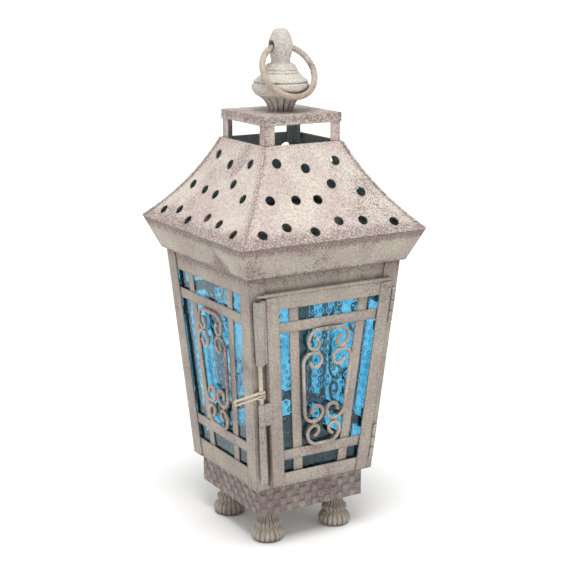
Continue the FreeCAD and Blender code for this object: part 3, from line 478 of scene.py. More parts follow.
@dataclass(frozen=True)
class ChalkPaint:
    """Rubbed chalk paint over a plum-brown primer, with a dark wash and painted shade in the hollows."""

    name: str
    cream: Colour = (0.40, 0.347, 0.286)
    blush: Colour = (0.335, 0.285, 0.25)
    primer: Colour = (0.115, 0.068, 0.068)
    bare_inside: Colour | None = (0.36, 0.37, 0.34)
    rub: float = 1.0
    speckle: float = 1.0
    # strength of the occlusion darkening: dark wash and painted shade
    wash: float = 1.0
    edge_radius: float = 1.1 * MM
    # (height, reach, strength) of darkened bands: worn paint, and painted shade under the cornice
    worn_and_shaded_levels: tuple[tuple[float, float, float], ...] = ()
    corner_wear: float = 0.0
    # strength of the groove darkening: dark wash and painted shade
    groove_wash: float = 0.0

    def material(self) -> bpy.types.Material:
        """Builds the material.

        Returns:
            The finished material.
        """
        g = FinishGraph(self.name)
        cloud = g.noise(g.place, 38.0, 4.0)
        stretched = g.vector("MULTIPLY", g.place, (420.0, 420.0, 70.0))
        strokes = g.noise(stretched, 1.0, 3.0)
        grain = g.noise(g.place, 820.0, 3.0)
        fine = g.noise(g.place, 1500.0, 2.0)
        tint = g.math("ADD", g.math("MULTIPLY", cloud, 0.75), g.math("MULTIPLY", strokes, 0.35))
        colour = g.mix(g.ramp(tint, 0.42, 0.68), self.cream, self.blush)
        colour = g.mix(g.ramp(strokes, 0.55, 0.85, 0.0, 0.35), colour, tuple(c * 1.18 for c in self.cream))
        # wear and painted shade make the primer specks denser
        wear_and_shade = self._wear(g)
        dust_and_shade = g.math("MULTIPLY", g.ramp(wear_and_shade, 0.0, 1.0, 0.11, 0.62), self.speckle)
        speck_limit = g.math("SUBTRACT", 0.70, g.math("MULTIPLY", dust_and_shade, 0.36))
        speck = g.math("SUBTRACT", g.math("MAXIMUM", grain, fine), speck_limit)
        colour = g.mix(g.ramp(speck, 0.0, 0.07, 0.0, 0.72), colour, self.primer)
        folds = g.math("MULTIPLY", g.edge_wear(self.edge_radius), g.ramp(grain, 0.34, 0.6, 0.35, 1.0))
        colour = g.mix(g.ramp(folds, 0.006, 0.12, 0.0, 0.85 * self.rub), colour, self.primer)
        # painted shade: occlusion darkens corners, creases and gaps between parts towards a darker primer,
        # together with the dark wash
        hollow = g.math("MULTIPLY", g.hollow(5.0 * MM), g.ramp(cloud, 0.3, 0.6, 0.65, 1.0))
        colour = g.mix(
            g.ramp(hollow, 0.12, 0.8, 0.0, 0.72 * self.wash), colour, tuple(c * 0.8 for c in self.primer)
        )
        if self.bare_inside is not None:
            colour = g.mix(self._inside(g), colour, self.bare_inside)
        # painted shade: the stored groove mark darkens flutes, seams and sunken squares, together with the
        # dark wash
        if self.groove_wash:
            groove = g.add("ShaderNodeAttribute", attribute_name="wash").outputs["Fac"]
            colour = g.mix(
                g.math("MULTIPLY", groove, self.groove_wash), colour, tuple(c * 1.5 for c in self.primer)
            )
        coarse = g.ramp(g.noise(g.place, 700.0, 1.0), 0.3, 0.7, 0.82, 1.16)
        colour = g.vector("SCALE", colour, coarse)
        height = g.math("ADD", g.math("MULTIPLY", strokes, 0.5), g.math("MULTIPLY", grain, 0.5))
        g.set(
            Base_Color=colour,
            Roughness=g.ramp(cloud, 0.3, 0.7, 0.52, 0.7),
            Normal=g.bump(height, 0.09 * MM, 0.55),
        )
        return g.material

    def _wear(self, g: FinishGraph) -> bpy.types.NodeSocket:
        """Share of rubbing by place: patches, worn levels and the corner folds; some levels also paint shade,
        as under the cornice.

        Args:
            g: the material's graph.

        Returns:
            A number from 0 to 1.
        """
        x, y, z = g.split(g.place)
        total = g.ramp(g.noise(g.place, 26.0, 5.0), 0.46, 0.72, 0.0, 0.75)
        ragged = g.math("MULTIPLY", g.math("SUBTRACT", g.noise(g.place, 160.0, 3.0), 0.5), 6.0 * MM)
        for level, reach, strength in self.worn_and_shaded_levels:
            away = g.math("ADD", g.math("ABSOLUTE", g.math("SUBTRACT", z, level)), ragged)
            total = g.math("MAXIMUM", total, g.ramp(away, reach, 0.0, 0.0, strength))
        if self.corner_wear:
            spread = g.math("SUBTRACT", g.math("ABSOLUTE", x), g.math("ABSOLUTE", y))
            away = g.math("ADD", g.math("ABSOLUTE", spread), ragged)
            total = g.math("MAXIMUM", total, g.ramp(away, 9.0 * MM, 0.0, 0.0, self.corner_wear))
        return total

    def _inside(self, g: FinishGraph) -> bpy.types.NodeSocket:
        """Share of the unpainted inside: faces turned to the middle, and ceilings.

        Args:
            g: the material's graph.

        Returns:
            A number from 0 to 1.
        """
        normal = g.add("ShaderNodeNewGeometry").outputs["Normal"]
        x, y, z = g.split(g.place)
        aside, ahead, up = g.split(normal)
        wide = g.math("GREATER_THAN", g.math("ABSOLUTE", x), g.math("ABSOLUTE", y))
        along_x = g.math("MULTIPLY", g.math("MULTIPLY", aside, g.math("SIGN", x)), wide)
        along_y = g.math(
            "MULTIPLY", g.math("MULTIPLY", ahead, g.math("SIGN", y)), g.math("SUBTRACT", 1.0, wide)
        )
        inward = g.ramp(g.math("ADD", along_x, along_y), -0.35, -0.5)
        inward = g.math("MULTIPLY", inward, g.ramp(up, 0.3, 0.2))
        ceiling = g.math("MULTIPLY", g.ramp(up, -0.75, -0.9), g.ramp(z, 0.28, 0.29))
        return g.math("MAXIMUM", inward, ceiling)


@dataclass(frozen=True)
class PressedGlass:
    """Blue glass with small pressed rings."""

    name: str = "pressed_blue_glass"
    deep: Colour = (0.18, 0.55, 0.72)
    clear: Colour = (0.38, 0.76, 0.91)
    wall: Colour = (0.01, 0.12, 0.22)

    def material(self) -> bpy.types.Material:
        """Builds the material.

        Returns:
            The finished material.
        """
        g = FinishGraph(self.name)
        cloud = g.noise(g.place, 45.0, 3.0)
        colour = g.mix(g.ramp(cloud, 0.35, 0.7), self.deep, self.clear)
        ring = g.add("ShaderNodeAttribute", attribute_name="ring").outputs["Fac"]
        colour = g.mix(g.math("MULTIPLY", ring, 0.9), colour, self.wall)
        wave = g.noise(g.place, 240.0, 2.0)
        g.set(
            Base_Color=colour,
            Roughness=g.ramp(cloud, 0.3, 0.7, 0.01, 0.05),
            IOR=1.45,
            Normal=g.bump(wave, 0.05 * MM, 0.4),
        )
        g.shader.inputs["Transmission Weight"].default_value = 1.0
        return g.material


@dataclass(frozen=True)
class BrightMetal:
    """Bare or tinned metal with fine draw lines and a little tarnish."""

    name: str
    bright: Colour = (0.62, 0.60, 0.57)
    dull: Colour = (0.30, 0.27, 0.25)
    lines: tuple[float, float, float] = (1600.0, 1600.0, 120.0)

    def material(self) -> bpy.types.Material:
        """Builds the material.

        Returns:
            The finished material.
        """
        g = FinishGraph(self.name)
        drawn = g.noise(g.vector("MULTIPLY", g.place, self.lines), 1.0, 2.0)
        tarnish = g.noise(g.place, 300.0, 4.0)
        colour = g.mix(g.ramp(tarnish, 0.45, 0.75), self.bright, self.dull)
        g.set(
            Base_Color=colour,
            Metallic=0.85,
            Roughness=g.ramp(drawn, 0.3, 0.7, 0.25, 0.5),
            Normal=g.bump(drawn, 0.04 * MM, 0.4),
        )
        return g.material


@dataclass(frozen=True)
class StudioPaper:
    """Matt white paper of the studio floor."""

    name: str = "studio_paper"

    def material(self) -> bpy.types.Material:
        """Builds the material.

        Returns:
            The finished material.
        """
        g = FinishGraph(self.name)
        tooth = g.noise(g.place, 900.0, 2.0)
        colour = g.mix(g.ramp(tooth, 0.3, 0.7), (0.90, 0.90, 0.90), (0.92, 0.92, 0.92))
        g.set(Base_Color=colour, Roughness=0.9, Normal=g.bump(tooth, 0.05 * MM, 0.2))
        return g.material


@dataclass
class PaintShop:
    """All finishes of the lantern, made once."""

    def __post_init__(self) -> None:
        """Makes every material."""
        self.sheet = ChalkPaint(
            "cream_chalk_sheet",
            # the 213 mm level darkens the header under the cornice: partly plum wear, partly the painted
            # shadow of the cornice
            worn_and_shaded_levels=((48.0 * MM, 8.0 * MM, 0.6), (213.0 * MM, 14.0 * MM, 0.85)),
            wash=1.3,
        ).material()
        self.cornice = ChalkPaint(
            "cream_chalk_cornice_painted_light",
            # the 213.2 mm level darkens the cornice's lower edge: partly wear, partly painted shade of the
            # gap beneath it
            worn_and_shaded_levels=((236.9 * MM, 12.0 * MM, 1.0), (213.2 * MM, 4.0 * MM, 0.6)),
            speckle=1.25,
            # painted light: the cornice's cream is lighter than the sheet's, to match how brightly the
            # cornice is lit
            cream=(0.45, 0.395, 0.325),
            blush=(0.385, 0.32, 0.275),
        ).material()
        self.roof = ChalkPaint(
            "cream_chalk_roof_painted_light",
            # painted light: the roof's cream is lighter than the sheet's, for the top light on its
            # upward-facing panels
            cream=(0.62, 0.555, 0.48),
            blush=(0.53, 0.435, 0.40),
            worn_and_shaded_levels=(
                (236.9 * MM, 15.0 * MM, 1.0),
                (299.7 * MM, 9.0 * MM, 0.5),
            ),
            corner_wear=0.7,
            rub=0.2,
        ).material()
        self.cap = ChalkPaint(
            "cream_chalk_cap_painted_light",
            # painted light: the cap's cream is lighter than the sheet's, for the top light on it
            cream=(0.58, 0.52, 0.45),
            blush=(0.50, 0.41, 0.38),
            worn_and_shaded_levels=((318.0 * MM, 7.0 * MM, 0.95),),
            rub=0.95,
        ).material()
        self.band = ChalkPaint(
            "cream_chalk_band_painted_shade",
            # painted shade: the band's cream is darker than the sheet's, for the shadow under the overhanging
            # base
            cream=(0.33, 0.29, 0.25),
            blush=(0.25, 0.205, 0.185),
            rub=0.6,
            wash=1.35,
            edge_radius=1.2 * MM,
            groove_wash=0.8,
        ).material()
        self.casting = ChalkPaint(
            "cream_chalk_casting_painted_light",
            # painted light: the finial's cream is lighter than the feet's, for the top light on it
            cream=(0.56, 0.52, 0.46),
            blush=(0.47, 0.42, 0.375),
            bare_inside=None,
            rub=0.5,
            wash=1.3,
            edge_radius=0.9 * MM,
            groove_wash=0.6,
        ).material()
        self.foot = ChalkPaint(
            "cream_chalk_foot_painted_shade",
            # painted shade: the feet's cream is darker than the finial's, for the shade low down under the
            # body
            cream=(0.42, 0.385, 0.315),
            blush=(0.33, 0.285, 0.235),
            bare_inside=None,
            rub=0.6,
            wash=1.2,
            edge_radius=1.0 * MM,
            groove_wash=0.55,
        ).material()
        self.hairpin = ChalkPaint(
            "yellowed_chalk_wire",
            cream=(0.62, 0.56, 0.45),
            blush=(0.50, 0.43, 0.33),
            primer=(0.16, 0.10, 0.07),
            bare_inside=None,
            rub=0.5,
            wash=0.5,
            edge_radius=0.6 * MM,
        ).material()
        self.wire = ChalkPaint(
            "cream_chalk_wire",
            cream=(0.50, 0.42, 0.345),
            blush=(0.34, 0.255, 0.205),
            primer=(0.13, 0.07, 0.055),
            bare_inside=None,
            rub=0.9,
            speckle=1.3,
            edge_radius=0.8 * MM,
        ).material()
        self.glass = PressedGlass().material()
        self.steel = BrightMetal("drawn_steel").material()
        self.tin = BrightMetal("tinned_sheet", (0.50, 0.50, 0.49), (0.24, 0.24, 0.24)).material()
        self.sleeve = ChalkPaint(
            "grey_chalk_sleeve",
            cream=(0.38, 0.345, 0.305),
            blush=(0.31, 0.275, 0.245),
            bare_inside=None,
            rub=0.9,
            edge_radius=0.7 * MM,
        ).material()




# ------------------------------------------------------------- mesh helpers


def keep(
    name: str,
    mesh: bpy.types.Mesh,
    body: Body,
    slot: Slot,
    replaced: Sequence[str] = (),
    sharp: float = SHARP_ANGLE,
) -> bpy.types.Object:
    """Makes a finished piece of a mesh and hands it to its body.

    Args:
        name: the piece's name.
        mesh: its mesh, in the row frame.
        body: the body that it rides on.
        slot: the record's material slot; not used.
        replaced: nodes that it stands for.
        sharp: edges that turn by more than this stay sharp.

    Returns:
        The new object.
    """
    mesh.name = name
    mesh.polygons.foreach_set("use_smooth", [True] * len(mesh.polygons))
    mesh.set_sharp_from_angle(angle=sharp)
    piece = bpy.data.objects.new(name, mesh)
    bpy.context.scene.collection.objects.link(piece)
    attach(piece, body.value)
    if replaced:
        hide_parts(*replaced)
    LOG.info("%s: %d faces on %s", name, len(mesh.polygons), body.value)
    return piece


def joined(name: str, meshes: Sequence[bpy.types.Mesh]) -> bpy.types.Mesh:
    """Joins meshes into one and removes the parts.

    Args:
        name: name of the result.
        meshes: the parts, which share one material.

    Returns:
        The joined mesh.
    """
    whole = bmesh.new()
    for mesh in meshes:
        whole.from_mesh(mesh)
    result = to_mesh(name, whole, meshes[0].materials[0])
    for mesh in meshes:
        bpy.data.meshes.remove(mesh)
    return result


def to_mesh(name: str, shape: bmesh.types.BMesh, finish: bpy.types.Material | None = None) -> bpy.types.Mesh:
    """Turns an edit mesh into a mesh.

    Args:
        name: the mesh's name.
        shape: the edit mesh, which is freed.
        finish: its material.

    Returns:
        The mesh.
    """
    mesh = bpy.data.meshes.new(name)
    if finish is not None:
        mesh.materials.append(finish)
    for face in shape.faces:
        face.material_index = 0
    shape.to_mesh(mesh)
    shape.free()
    return mesh


def soften(shape: bmesh.types.BMesh, width: float, steps: int = 2, limit: float = math.radians(30.0)) -> None:
    """Rounds every fold of a closed shape.

    Args:
        shape: the edit mesh.
        width: width of the rounding in metres.
        steps: faces across it.
        limit: smallest turn that counts as a fold.
    """
    bmesh.ops.recalc_face_normals(shape, faces=shape.faces)
    folds = [e for e in shape.edges if e.is_manifold and e.calc_face_angle(0.0) > limit]
    bmesh.ops.bevel(
        shape, geom=folds, offset=width, segments=steps, profile=0.5, affect="EDGES", clamp_overlap=True
    )


def softened_nodes(
    frame: dict, names: Sequence[str], width: float, finish: bpy.types.Material
) -> bpy.types.Mesh:
    """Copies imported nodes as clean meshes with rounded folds.

    Args:
        frame: the loaded frame.
        names: nodes to copy.
        width: width of the rounding in metres.
        finish: their material.

    Returns:
        One mesh of all of them.
    """
    parts = []
    for name in names:
        shape = bmesh.new()
        shape.from_mesh(frame["nodes"][name].data)
        bmesh.ops.remove_doubles(shape, verts=shape.verts, dist=WELD_DISTANCE)
        bmesh.ops.dissolve_limit(
            shape, angle_limit=math.radians(0.6), verts=shape.verts, edges=shape.edges
        )
        soften(shape, width)
        parts.append(to_mesh(name + "_soft", shape, finish))
    return joined("soft", parts)


def add_prism(
    shape: bmesh.types.BMesh,
    outline: Sequence[Point2],
    place: Placer,
    back: float,
    front: float,
    width: float,
) -> None:
    """Adds a flat piece of sheet cut to an outline, with softened edges.

    Args:
        shape: edit mesh that gets it.
        outline: corners across and up, anticlockwise from the front.
        place: gives a point of the face for across, up and height off it.
        back: height of its back.
        front: height of its front.
        width: width of the rounded edge.
    """
    blank = bmesh.new()
    under = [blank.verts.new(place(x, up, back)) for x, up in outline]
    over = [blank.verts.new(place(x, up, front)) for x, up in outline]
    blank.faces.new(over)
    blank.faces.new(under[::-1])
    count = len(outline)
    for i in range(count):
        j = (i + 1) % count
        blank.faces.new((under[i], under[j], over[j], over[i]))
    soften(blank, width)
    temporary = bpy.data.meshes.new("blank")
    blank.to_mesh(temporary)
    blank.free()
    shape.from_mesh(temporary)
    bpy.data.meshes.remove(temporary)


def polyline(points: Sequence[Vector], closed: bool = False) -> bpy.types.Mesh:
    """Makes a mesh of edges only.

    Args:
        points: the line's points.
        closed: whether the last joins the first.

    Returns:
        The mesh.
    """
    mesh = bpy.data.meshes.new("line")
    edges = [(i, i + 1) for i in range(len(points) - 1)]
    if closed:
        edges.append((len(points) - 1, 0))
    mesh.from_pydata([tuple(p) for p in points], edges, [])
    return mesh


def give(mesh: bpy.types.Mesh, name: str, values: Sequence[float], kind: str = "FLOAT") -> None:
    """Stores numbers or vectors on a mesh's points.

    Args:
        mesh: the mesh.
        name: the attribute's name.
        values: one value for each point, with vectors flattened.
        kind: its data type.
    """
    layer = mesh.attributes.new(name, kind, "POINT")
    layer.data.foreach_set("vector" if kind == "FLOAT_VECTOR" else "value", list(values))


def bent_path(
    start: Point2, heading: float, moves: Sequence[tuple[float, ...]], step: float = 0.5 * MM
) -> list[Point2]:
    """Follows runs and bends over a flat bench.

    Args:
        start: first point.
        heading: first direction in degrees.
        moves: (length,) runs and (radius, turn) bends, turns in degrees to the left.
        step: spacing of the points on a bend.

    Returns:
        Points along the path.
    """
    x, y = start
    angle = math.radians(heading)
    points = [(x, y)]
    for move in moves:
        if len(move) == 1:
            count = max(1, round(move[0] / (3.0 * step)))
            for _ in range(count):
                x += math.cos(angle) * move[0] / count
                y += math.sin(angle) * move[0] / count
                points.append((x, y))
            continue
        radius, turn = move[0], math.radians(move[1])
        count = max(3, math.ceil(radius * abs(turn) / step))
        side = math.copysign(1.0, turn)
        middle_x = x - side * radius * math.sin(angle)
        middle_y = y + side * radius * math.cos(angle)
        for i in range(1, count + 1):
            at = angle + turn * i / count
            points.append((middle_x + side * radius * math.sin(at), middle_y - side * radius * math.cos(at)))
        angle += turn
        x, y = points[-1]
    return points


# ---------------------------------------------------------------- node trees


def fluted_turning_tree() -> ShapeTree:
    """Tree that turns a profile about the upright axis and cuts flutes where the profile asks for them.

    Returns:
        The tree.
    """
    t = ShapeTree(
        "Fluted turning",
        Around="Int", Along="Int", Flutes="Int", Flute_depth="Float", Unevenness="Float", Centre="Vector",
    )
    curve = t.step("GeometryNodeMeshToCurve", {"Mesh": t.shape})
    rows = t.math("ADD", t.size("Around"), 1.0)
    grid = t.step(
        "GeometryNodeMeshGrid", {
            "Size X": 1.0, "Size Y": 1.0, "Vertices X": t.size("Along"), "Vertices Y": rows
        }
    )
    x, y, _ = t.split(t.step("GeometryNodeInputPosition", {}))
    turn = t.math("MULTIPLY", t.math("ADD", y, 0.5), math.tau)
    sample = t.add("GeometryNodeSampleCurve", data_type="FLOAT", mode="FACTOR")
    t.plug(curve, sample.inputs["Curves"])
    t.plug(t.attribute("fluting"), next(s for s in sample.inputs if s.name == "Value" and s.enabled))
    t.plug(t.math("ADD", x, 0.5), sample.inputs["Factor"])
    cut = next(s for s in sample.outputs if s.name == "Value" and s.enabled)
    radius, _, height = t.split(sample.outputs["Position"])
    wave = t.math(
        "ABSOLUTE", t.math("COSINE", t.math("MULTIPLY", turn, t.math("MULTIPLY", t.size("Flutes"), 0.5)))
    )
    lobe = t.math("SUBTRACT", t.math("POWER", wave, 0.55), 1.0)
    radius = t.math("ADD", radius, t.math("MULTIPLY", t.math("MULTIPLY", lobe, cut), t.size("Flute_depth")))
    spot = t.vector(
        "ADD",
        t.combine(t.math("COSINE", turn), t.math("SINE", turn), t.math("MULTIPLY", height, 120.0)),
        t.vector("SCALE", t.size("Centre"), 90.0),
    )
    rough = t.math("MULTIPLY", t.math("SUBTRACT", t.noise(spot, 1.6, 2.0), 0.5), t.size("Unevenness"))
    near_axis = t.ramp(radius, 0.0, 2.0 * MM)
    radius = t.math("ADD", radius, t.math("MULTIPLY", rough, near_axis))
    where = t.combine(
        t.math("MULTIPLY", radius, t.math("COSINE", turn)),
        t.math("MULTIPLY", radius, t.math("SINE", turn)),
        height,
    )
    where = t.vector("ADD", where, t.size("Centre"))
    # flute grooves are stored for the finish to darken: dark wash and painted shade
    groove = t.math("MULTIPLY", t.ramp(lobe, -0.22, -0.75), cut)
    shape = t.keep_mark(grid, "wash", groove)
    shape = t.step("GeometryNodeSetPosition", {"Geometry": shape, "Position": where})
    shape = t.step("GeometryNodeMergeByDistance", {"Geometry": shape, "Distance": 0.01 * MM})
    return t.end(t.step("GeometryNodeFlipFaces", {"Mesh": shape}))


def wire_tree() -> ShapeTree:
    """Tree that lays an uneven wire along a line.

    Returns:
        The tree.
    """
    t = ShapeTree(
        "Wire along a line",
        Wire_radius="Float",
        Spacing="Float",
        Sides="Int",
        Unevenness="Float",
        Grain="Float",
    )
    curve = t.step("GeometryNodeMeshToCurve", {"Mesh": t.shape})
    curve = t.step("GeometryNodeResampleCurve", {"Curve": curve, "Length": t.size("Spacing")}, mode="LENGTH")
    place = t.step("GeometryNodeInputPosition", {})
    rough = t.math("SUBTRACT", t.noise(place, t.size("Grain"), 2.0), 0.5)
    factor = t.math("ADD", 1.0, t.math("MULTIPLY", rough, t.size("Unevenness")))
    curve = t.step("GeometryNodeSetCurveRadius", {"Curve": curve, "Radius": factor})
    ring = t.step(
        "GeometryNodeCurvePrimitiveCircle", {"Resolution": t.size("Sides"), "Radius": t.size("Wire_radius")}
    )
    return t.end(
        t.step("GeometryNodeCurveToMesh", {"Curve": curve, "Profile Curve": ring, "Fill Caps": True})
    )


def solder_tree() -> ShapeTree:
    """Tree that puts an uneven solder dab on each point.

    Returns:
        The tree.
    """
    t = ShapeTree("Solder dabs", Dab_radius="Float", Seed="Int")
    ball = t.step("GeometryNodeMeshIcoSphere", {"Radius": t.size("Dab_radius"), "Subdivisions": 3})
    points = t.step("GeometryNodeMeshToPoints", {"Mesh": t.shape})
    size = t.step(
        "FunctionNodeRandomValue", {
            "Min": (0.75, 0.75, 0.6), "Max": (1.25, 1.2, 0.95), "Seed": t.size("Seed")
        },
        data_type="FLOAT_VECTOR",
    )
    dabs = t.step("GeometryNodeInstanceOnPoints", {"Points": points, "Instance": ball, "Scale": size})
    real = t.step("GeometryNodeRealizeInstances", {"Geometry": dabs})
    place = t.step("GeometryNodeInputPosition", {})
    push = t.vector(
        "SCALE", t.vector("SUBTRACT", t.noise(place, 700.0, 2.0, True), (0.5, 0.5, 0.5)), 0.7 * MM
    )
    return t.end(t.step("GeometryNodeSetPosition", {"Geometry": real, "Offset": push}))


def punched_sheet_tree() -> ShapeTree:
    """Tree that punches round holes through a sheet at its loose points and turns up a burr round each.

    Returns:
        The tree.
    """
    t = ShapeTree("Punched sheet", Hole_radius="Float", Burr="Float", Sheet="Float")
    hole = t.attribute("hole")
    points = t.add("GeometryNodeSeparateGeometry", domain="POINT")
    t.plug(t.shape, points.inputs["Geometry"])
    t.plug(t.math("GREATER_THAN", hole, 0.5), points.inputs["Selection"])
    facing = t.step(
        "FunctionNodeAlignRotationToVector", {"Vector": t.attribute("facing", "FLOAT_VECTOR")}, axis="Z"
    )
    punch = t.step(
        "GeometryNodeMeshCylinder",
        {"Vertices": 40, "Radius": t.size("Hole_radius"), "Depth": t.math("MULTIPLY", t.size("Sheet"), 5.0)},
    )
    punches = t.step(
        "GeometryNodeInstanceOnPoints", {"Points": points.outputs[0], "Instance": punch, "Rotation": facing}
    )
    punches = t.step("GeometryNodeRealizeInstances", {"Geometry": punches})
    cut = t.add("GeometryNodeMeshBoolean", operation="DIFFERENCE", solver="EXACT")
    t.plug(points.outputs[1], cut.inputs[0])
    t.plug(punches, cut.inputs[1])
    rim_radius = t.math("ADD", t.size("Hole_radius"), t.math("MULTIPLY", t.size("Burr"), 0.35))
    ring = t.step("GeometryNodeCurvePrimitiveCircle", {"Resolution": 40, "Radius": rim_radius})
    bead = t.step("GeometryNodeCurvePrimitiveCircle", {"Resolution": 8, "Radius": t.size("Burr")})
    rim = t.step("GeometryNodeCurveToMesh", {"Curve": ring, "Profile Curve": bead})
    lift = t.math("MULTIPLY", t.size("Sheet"), 0.42)
    rim = t.step("GeometryNodeTransform", {"Geometry": rim, "Translation": t.combine(0.0, 0.0, lift)})
    rims = t.step(
        "GeometryNodeInstanceOnPoints", {"Points": points.outputs[0], "Instance": rim, "Rotation": facing}
    )
    both = t.add("GeometryNodeJoinGeometry")
    t.plug(rims, both.inputs[0])
    t.plug(cut.outputs[0], both.inputs[0])
    return t.end(both.outputs[0])


def basket_emboss_tree() -> ShapeTree:
    """Tree that presses a checker of soft squares into a sheet.

    Returns:
        The tree.
    """
    t = ShapeTree("Basket emboss", Pitch="Float", Depth="Float", Facing="Vector")
    across = t.math("DIVIDE", t.attribute("across"), t.size("Pitch"))
    up = t.math("DIVIDE", t.attribute("up"), t.size("Pitch"))
    place = t.step("GeometryNodeInputPosition", {})
    drift = t.math("MULTIPLY", t.math("SUBTRACT", t.noise(place, 110.0, 1.0), 0.5), 0.34)
    across = t.math("ADD", across, drift)
    columns = t.math("SINE", t.math("MULTIPLY", across, math.pi))
    rows = t.math("SINE", t.math("MULTIPLY", up, math.pi))
    checker = t.math("TANH", t.math("MULTIPLY", t.math("MULTIPLY", columns, rows), 5.5))
    pillow = t.math("MULTIPLY", t.math("ABSOLUTE", t.math("MULTIPLY", columns, rows)), 0.45)
    height = t.math(
        "MULTIPLY", t.math("ADD", checker, pillow), t.math("MULTIPLY", t.attribute("free"), t.size("Depth"))
    )
    push = t.vector("SCALE", t.size("Facing"), height)
    # seams and sunken squares are stored for the finish to darken: dark wash and painted shade in the
    # recesses
    seam = t.ramp(t.math("ABSOLUTE", t.math("MULTIPLY", columns, rows)), 0.24, 0.0)
    low = t.ramp(checker, 0.2, -0.4, 0.0, 0.4)
    groove = t.math("MULTIPLY", t.math("MAXIMUM", t.math("MULTIPLY", seam, 0.8), low), t.attribute("free"))
    shape = t.keep_mark(t.shape, "wash", groove)
    return t.end(t.step("GeometryNodeSetPosition", {"Geometry": shape, "Offset": push}))


def pressed_ring_tree() -> ShapeTree:
    """Tree that presses small rings and dimples into a pane at scattered points.

    Returns:
        The tree.
    """
    t = ShapeTree(
        "Pressed rings", Spacing="Float", Ring_radius="Float", Height="Float", Seed="Int", Facing="Vector"
    )
    free = t.attribute("free")
    scatter = t.step(
        "GeometryNodeDistributePointsOnFaces",
        {
            "Mesh": t.shape,
            "Selection": t.math("GREATER_THAN", free, 0.3),
            "Distance Min": t.size("Spacing"),
            "Density Max": 90000.0,
            "Seed": t.size("Seed"),
        },
        distribute_method="POISSON",
    )
    near = t.add("GeometryNodeProximity", target_element="POINTS")
    t.plug(scatter, near.inputs[0])
    away = t.math("DIVIDE", near.outputs["Distance"], t.size("Ring_radius"))
    place = t.step("GeometryNodeInputPosition", {})
    away = t.math("ADD", away, t.math("MULTIPLY", t.math("SUBTRACT", t.noise(place, 420.0, 1.0), 0.5), 0.5))
    wall = t.math("SUBTRACT", away, 1.0)
    ring = t.math("EXPONENT", t.math("MULTIPLY", t.math("MULTIPLY", wall, wall), -16.0))
    dimple = t.math(
        "MULTIPLY", t.math("EXPONENT", t.math("MULTIPLY", t.math("MULTIPLY", away, away), -5.0)), -0.5
    )
    ripple = t.math("MULTIPLY", t.math("SUBTRACT", t.noise(place, 60.0, 1.0), 0.5), 0.15)
    height = t.math("ADD", t.math("ADD", ring, dimple), ripple)
    height = t.math("MULTIPLY", height, t.math("MULTIPLY", free, t.size("Height")))
    push = t.vector("SCALE", t.size("Facing"), height)
    shape = t.keep_mark(t.shape, "ring", t.math("MULTIPLY", ring, free))
    return t.end(t.step("GeometryNodeSetPosition", {"Geometry": shape, "Offset": push}))


@dataclass
class Trees:
    """All node trees of the lantern, made once."""

    def __post_init__(self) -> None:
        """Makes every tree."""
        self.turning = fluted_turning_tree()
        self.wire = wire_tree()
        self.solder = solder_tree()
        self.punched = punched_sheet_tree()
        self.basket = basket_emboss_tree()
        self.rings = pressed_ring_tree()


@dataclass
class Workshop:
    """What every sub-assembly works with."""

    frame: dict
    paint: PaintShop
    trees: Trees


# ------------------------------------------------------------ the lantern's body


@dataclass(frozen=True)
class TaperedBody:
    """Square body that widens upwards; its faces carry the glass, bars and door."""

    half_bottom: float = 50.4 * MM
    half_top: float = 64.3 * MM
    bottom: float = 48.0 * MM
    height: float = 165.2 * MM

    @property
    def slant(self) -> float:
        """Length of a face up its slope."""
        return math.hypot(self.height, self.half_top - self.half_bottom)

    @property
    def lean(self) -> float:
        """Angle of a face from upright."""
        return math.atan2(self.half_top - self.half_bottom, self.height)

    @property
    def edge_lean(self) -> float:
        """Angle of a face's long edge from its middle line."""
        return math.atan2(self.half_top - self.half_bottom, self.slant)

    def half_at(self, up: float) -> float:
        """Half the width of a face.

        Args:
            up: distance up the slope.

        Returns:
            Half the width there.
        """
        return self.half_bottom + up * (self.half_top - self.half_bottom) / self.slant

    def placer(self, side: Side) -> Placer:
        """Gives the function that places points on a face.

        Args:
            side: the face.

        Returns:
            Function of across, up and height off the face.
        """
        turn, lean_sin, lean_cos = side.turn, math.sin(self.lean), math.cos(self.lean)

        def place(across: float, up: float, off: float) -> Vector:
            """Places one point."""
            out = self.half_bottom + up * lean_sin + off * lean_cos
            return turn @ Vector((across, -out, self.bottom + up * lean_cos - off * lean_sin))

        return place

    def facing(self, side: Side) -> Vector:
        """Outward direction of a face.

        Args:
            side: the face.

        Returns:
            The unit normal.
        """
        return side.turn @ Vector((0.0, -math.cos(self.lean), -math.sin(self.lean)))


BODY = TaperedBody()


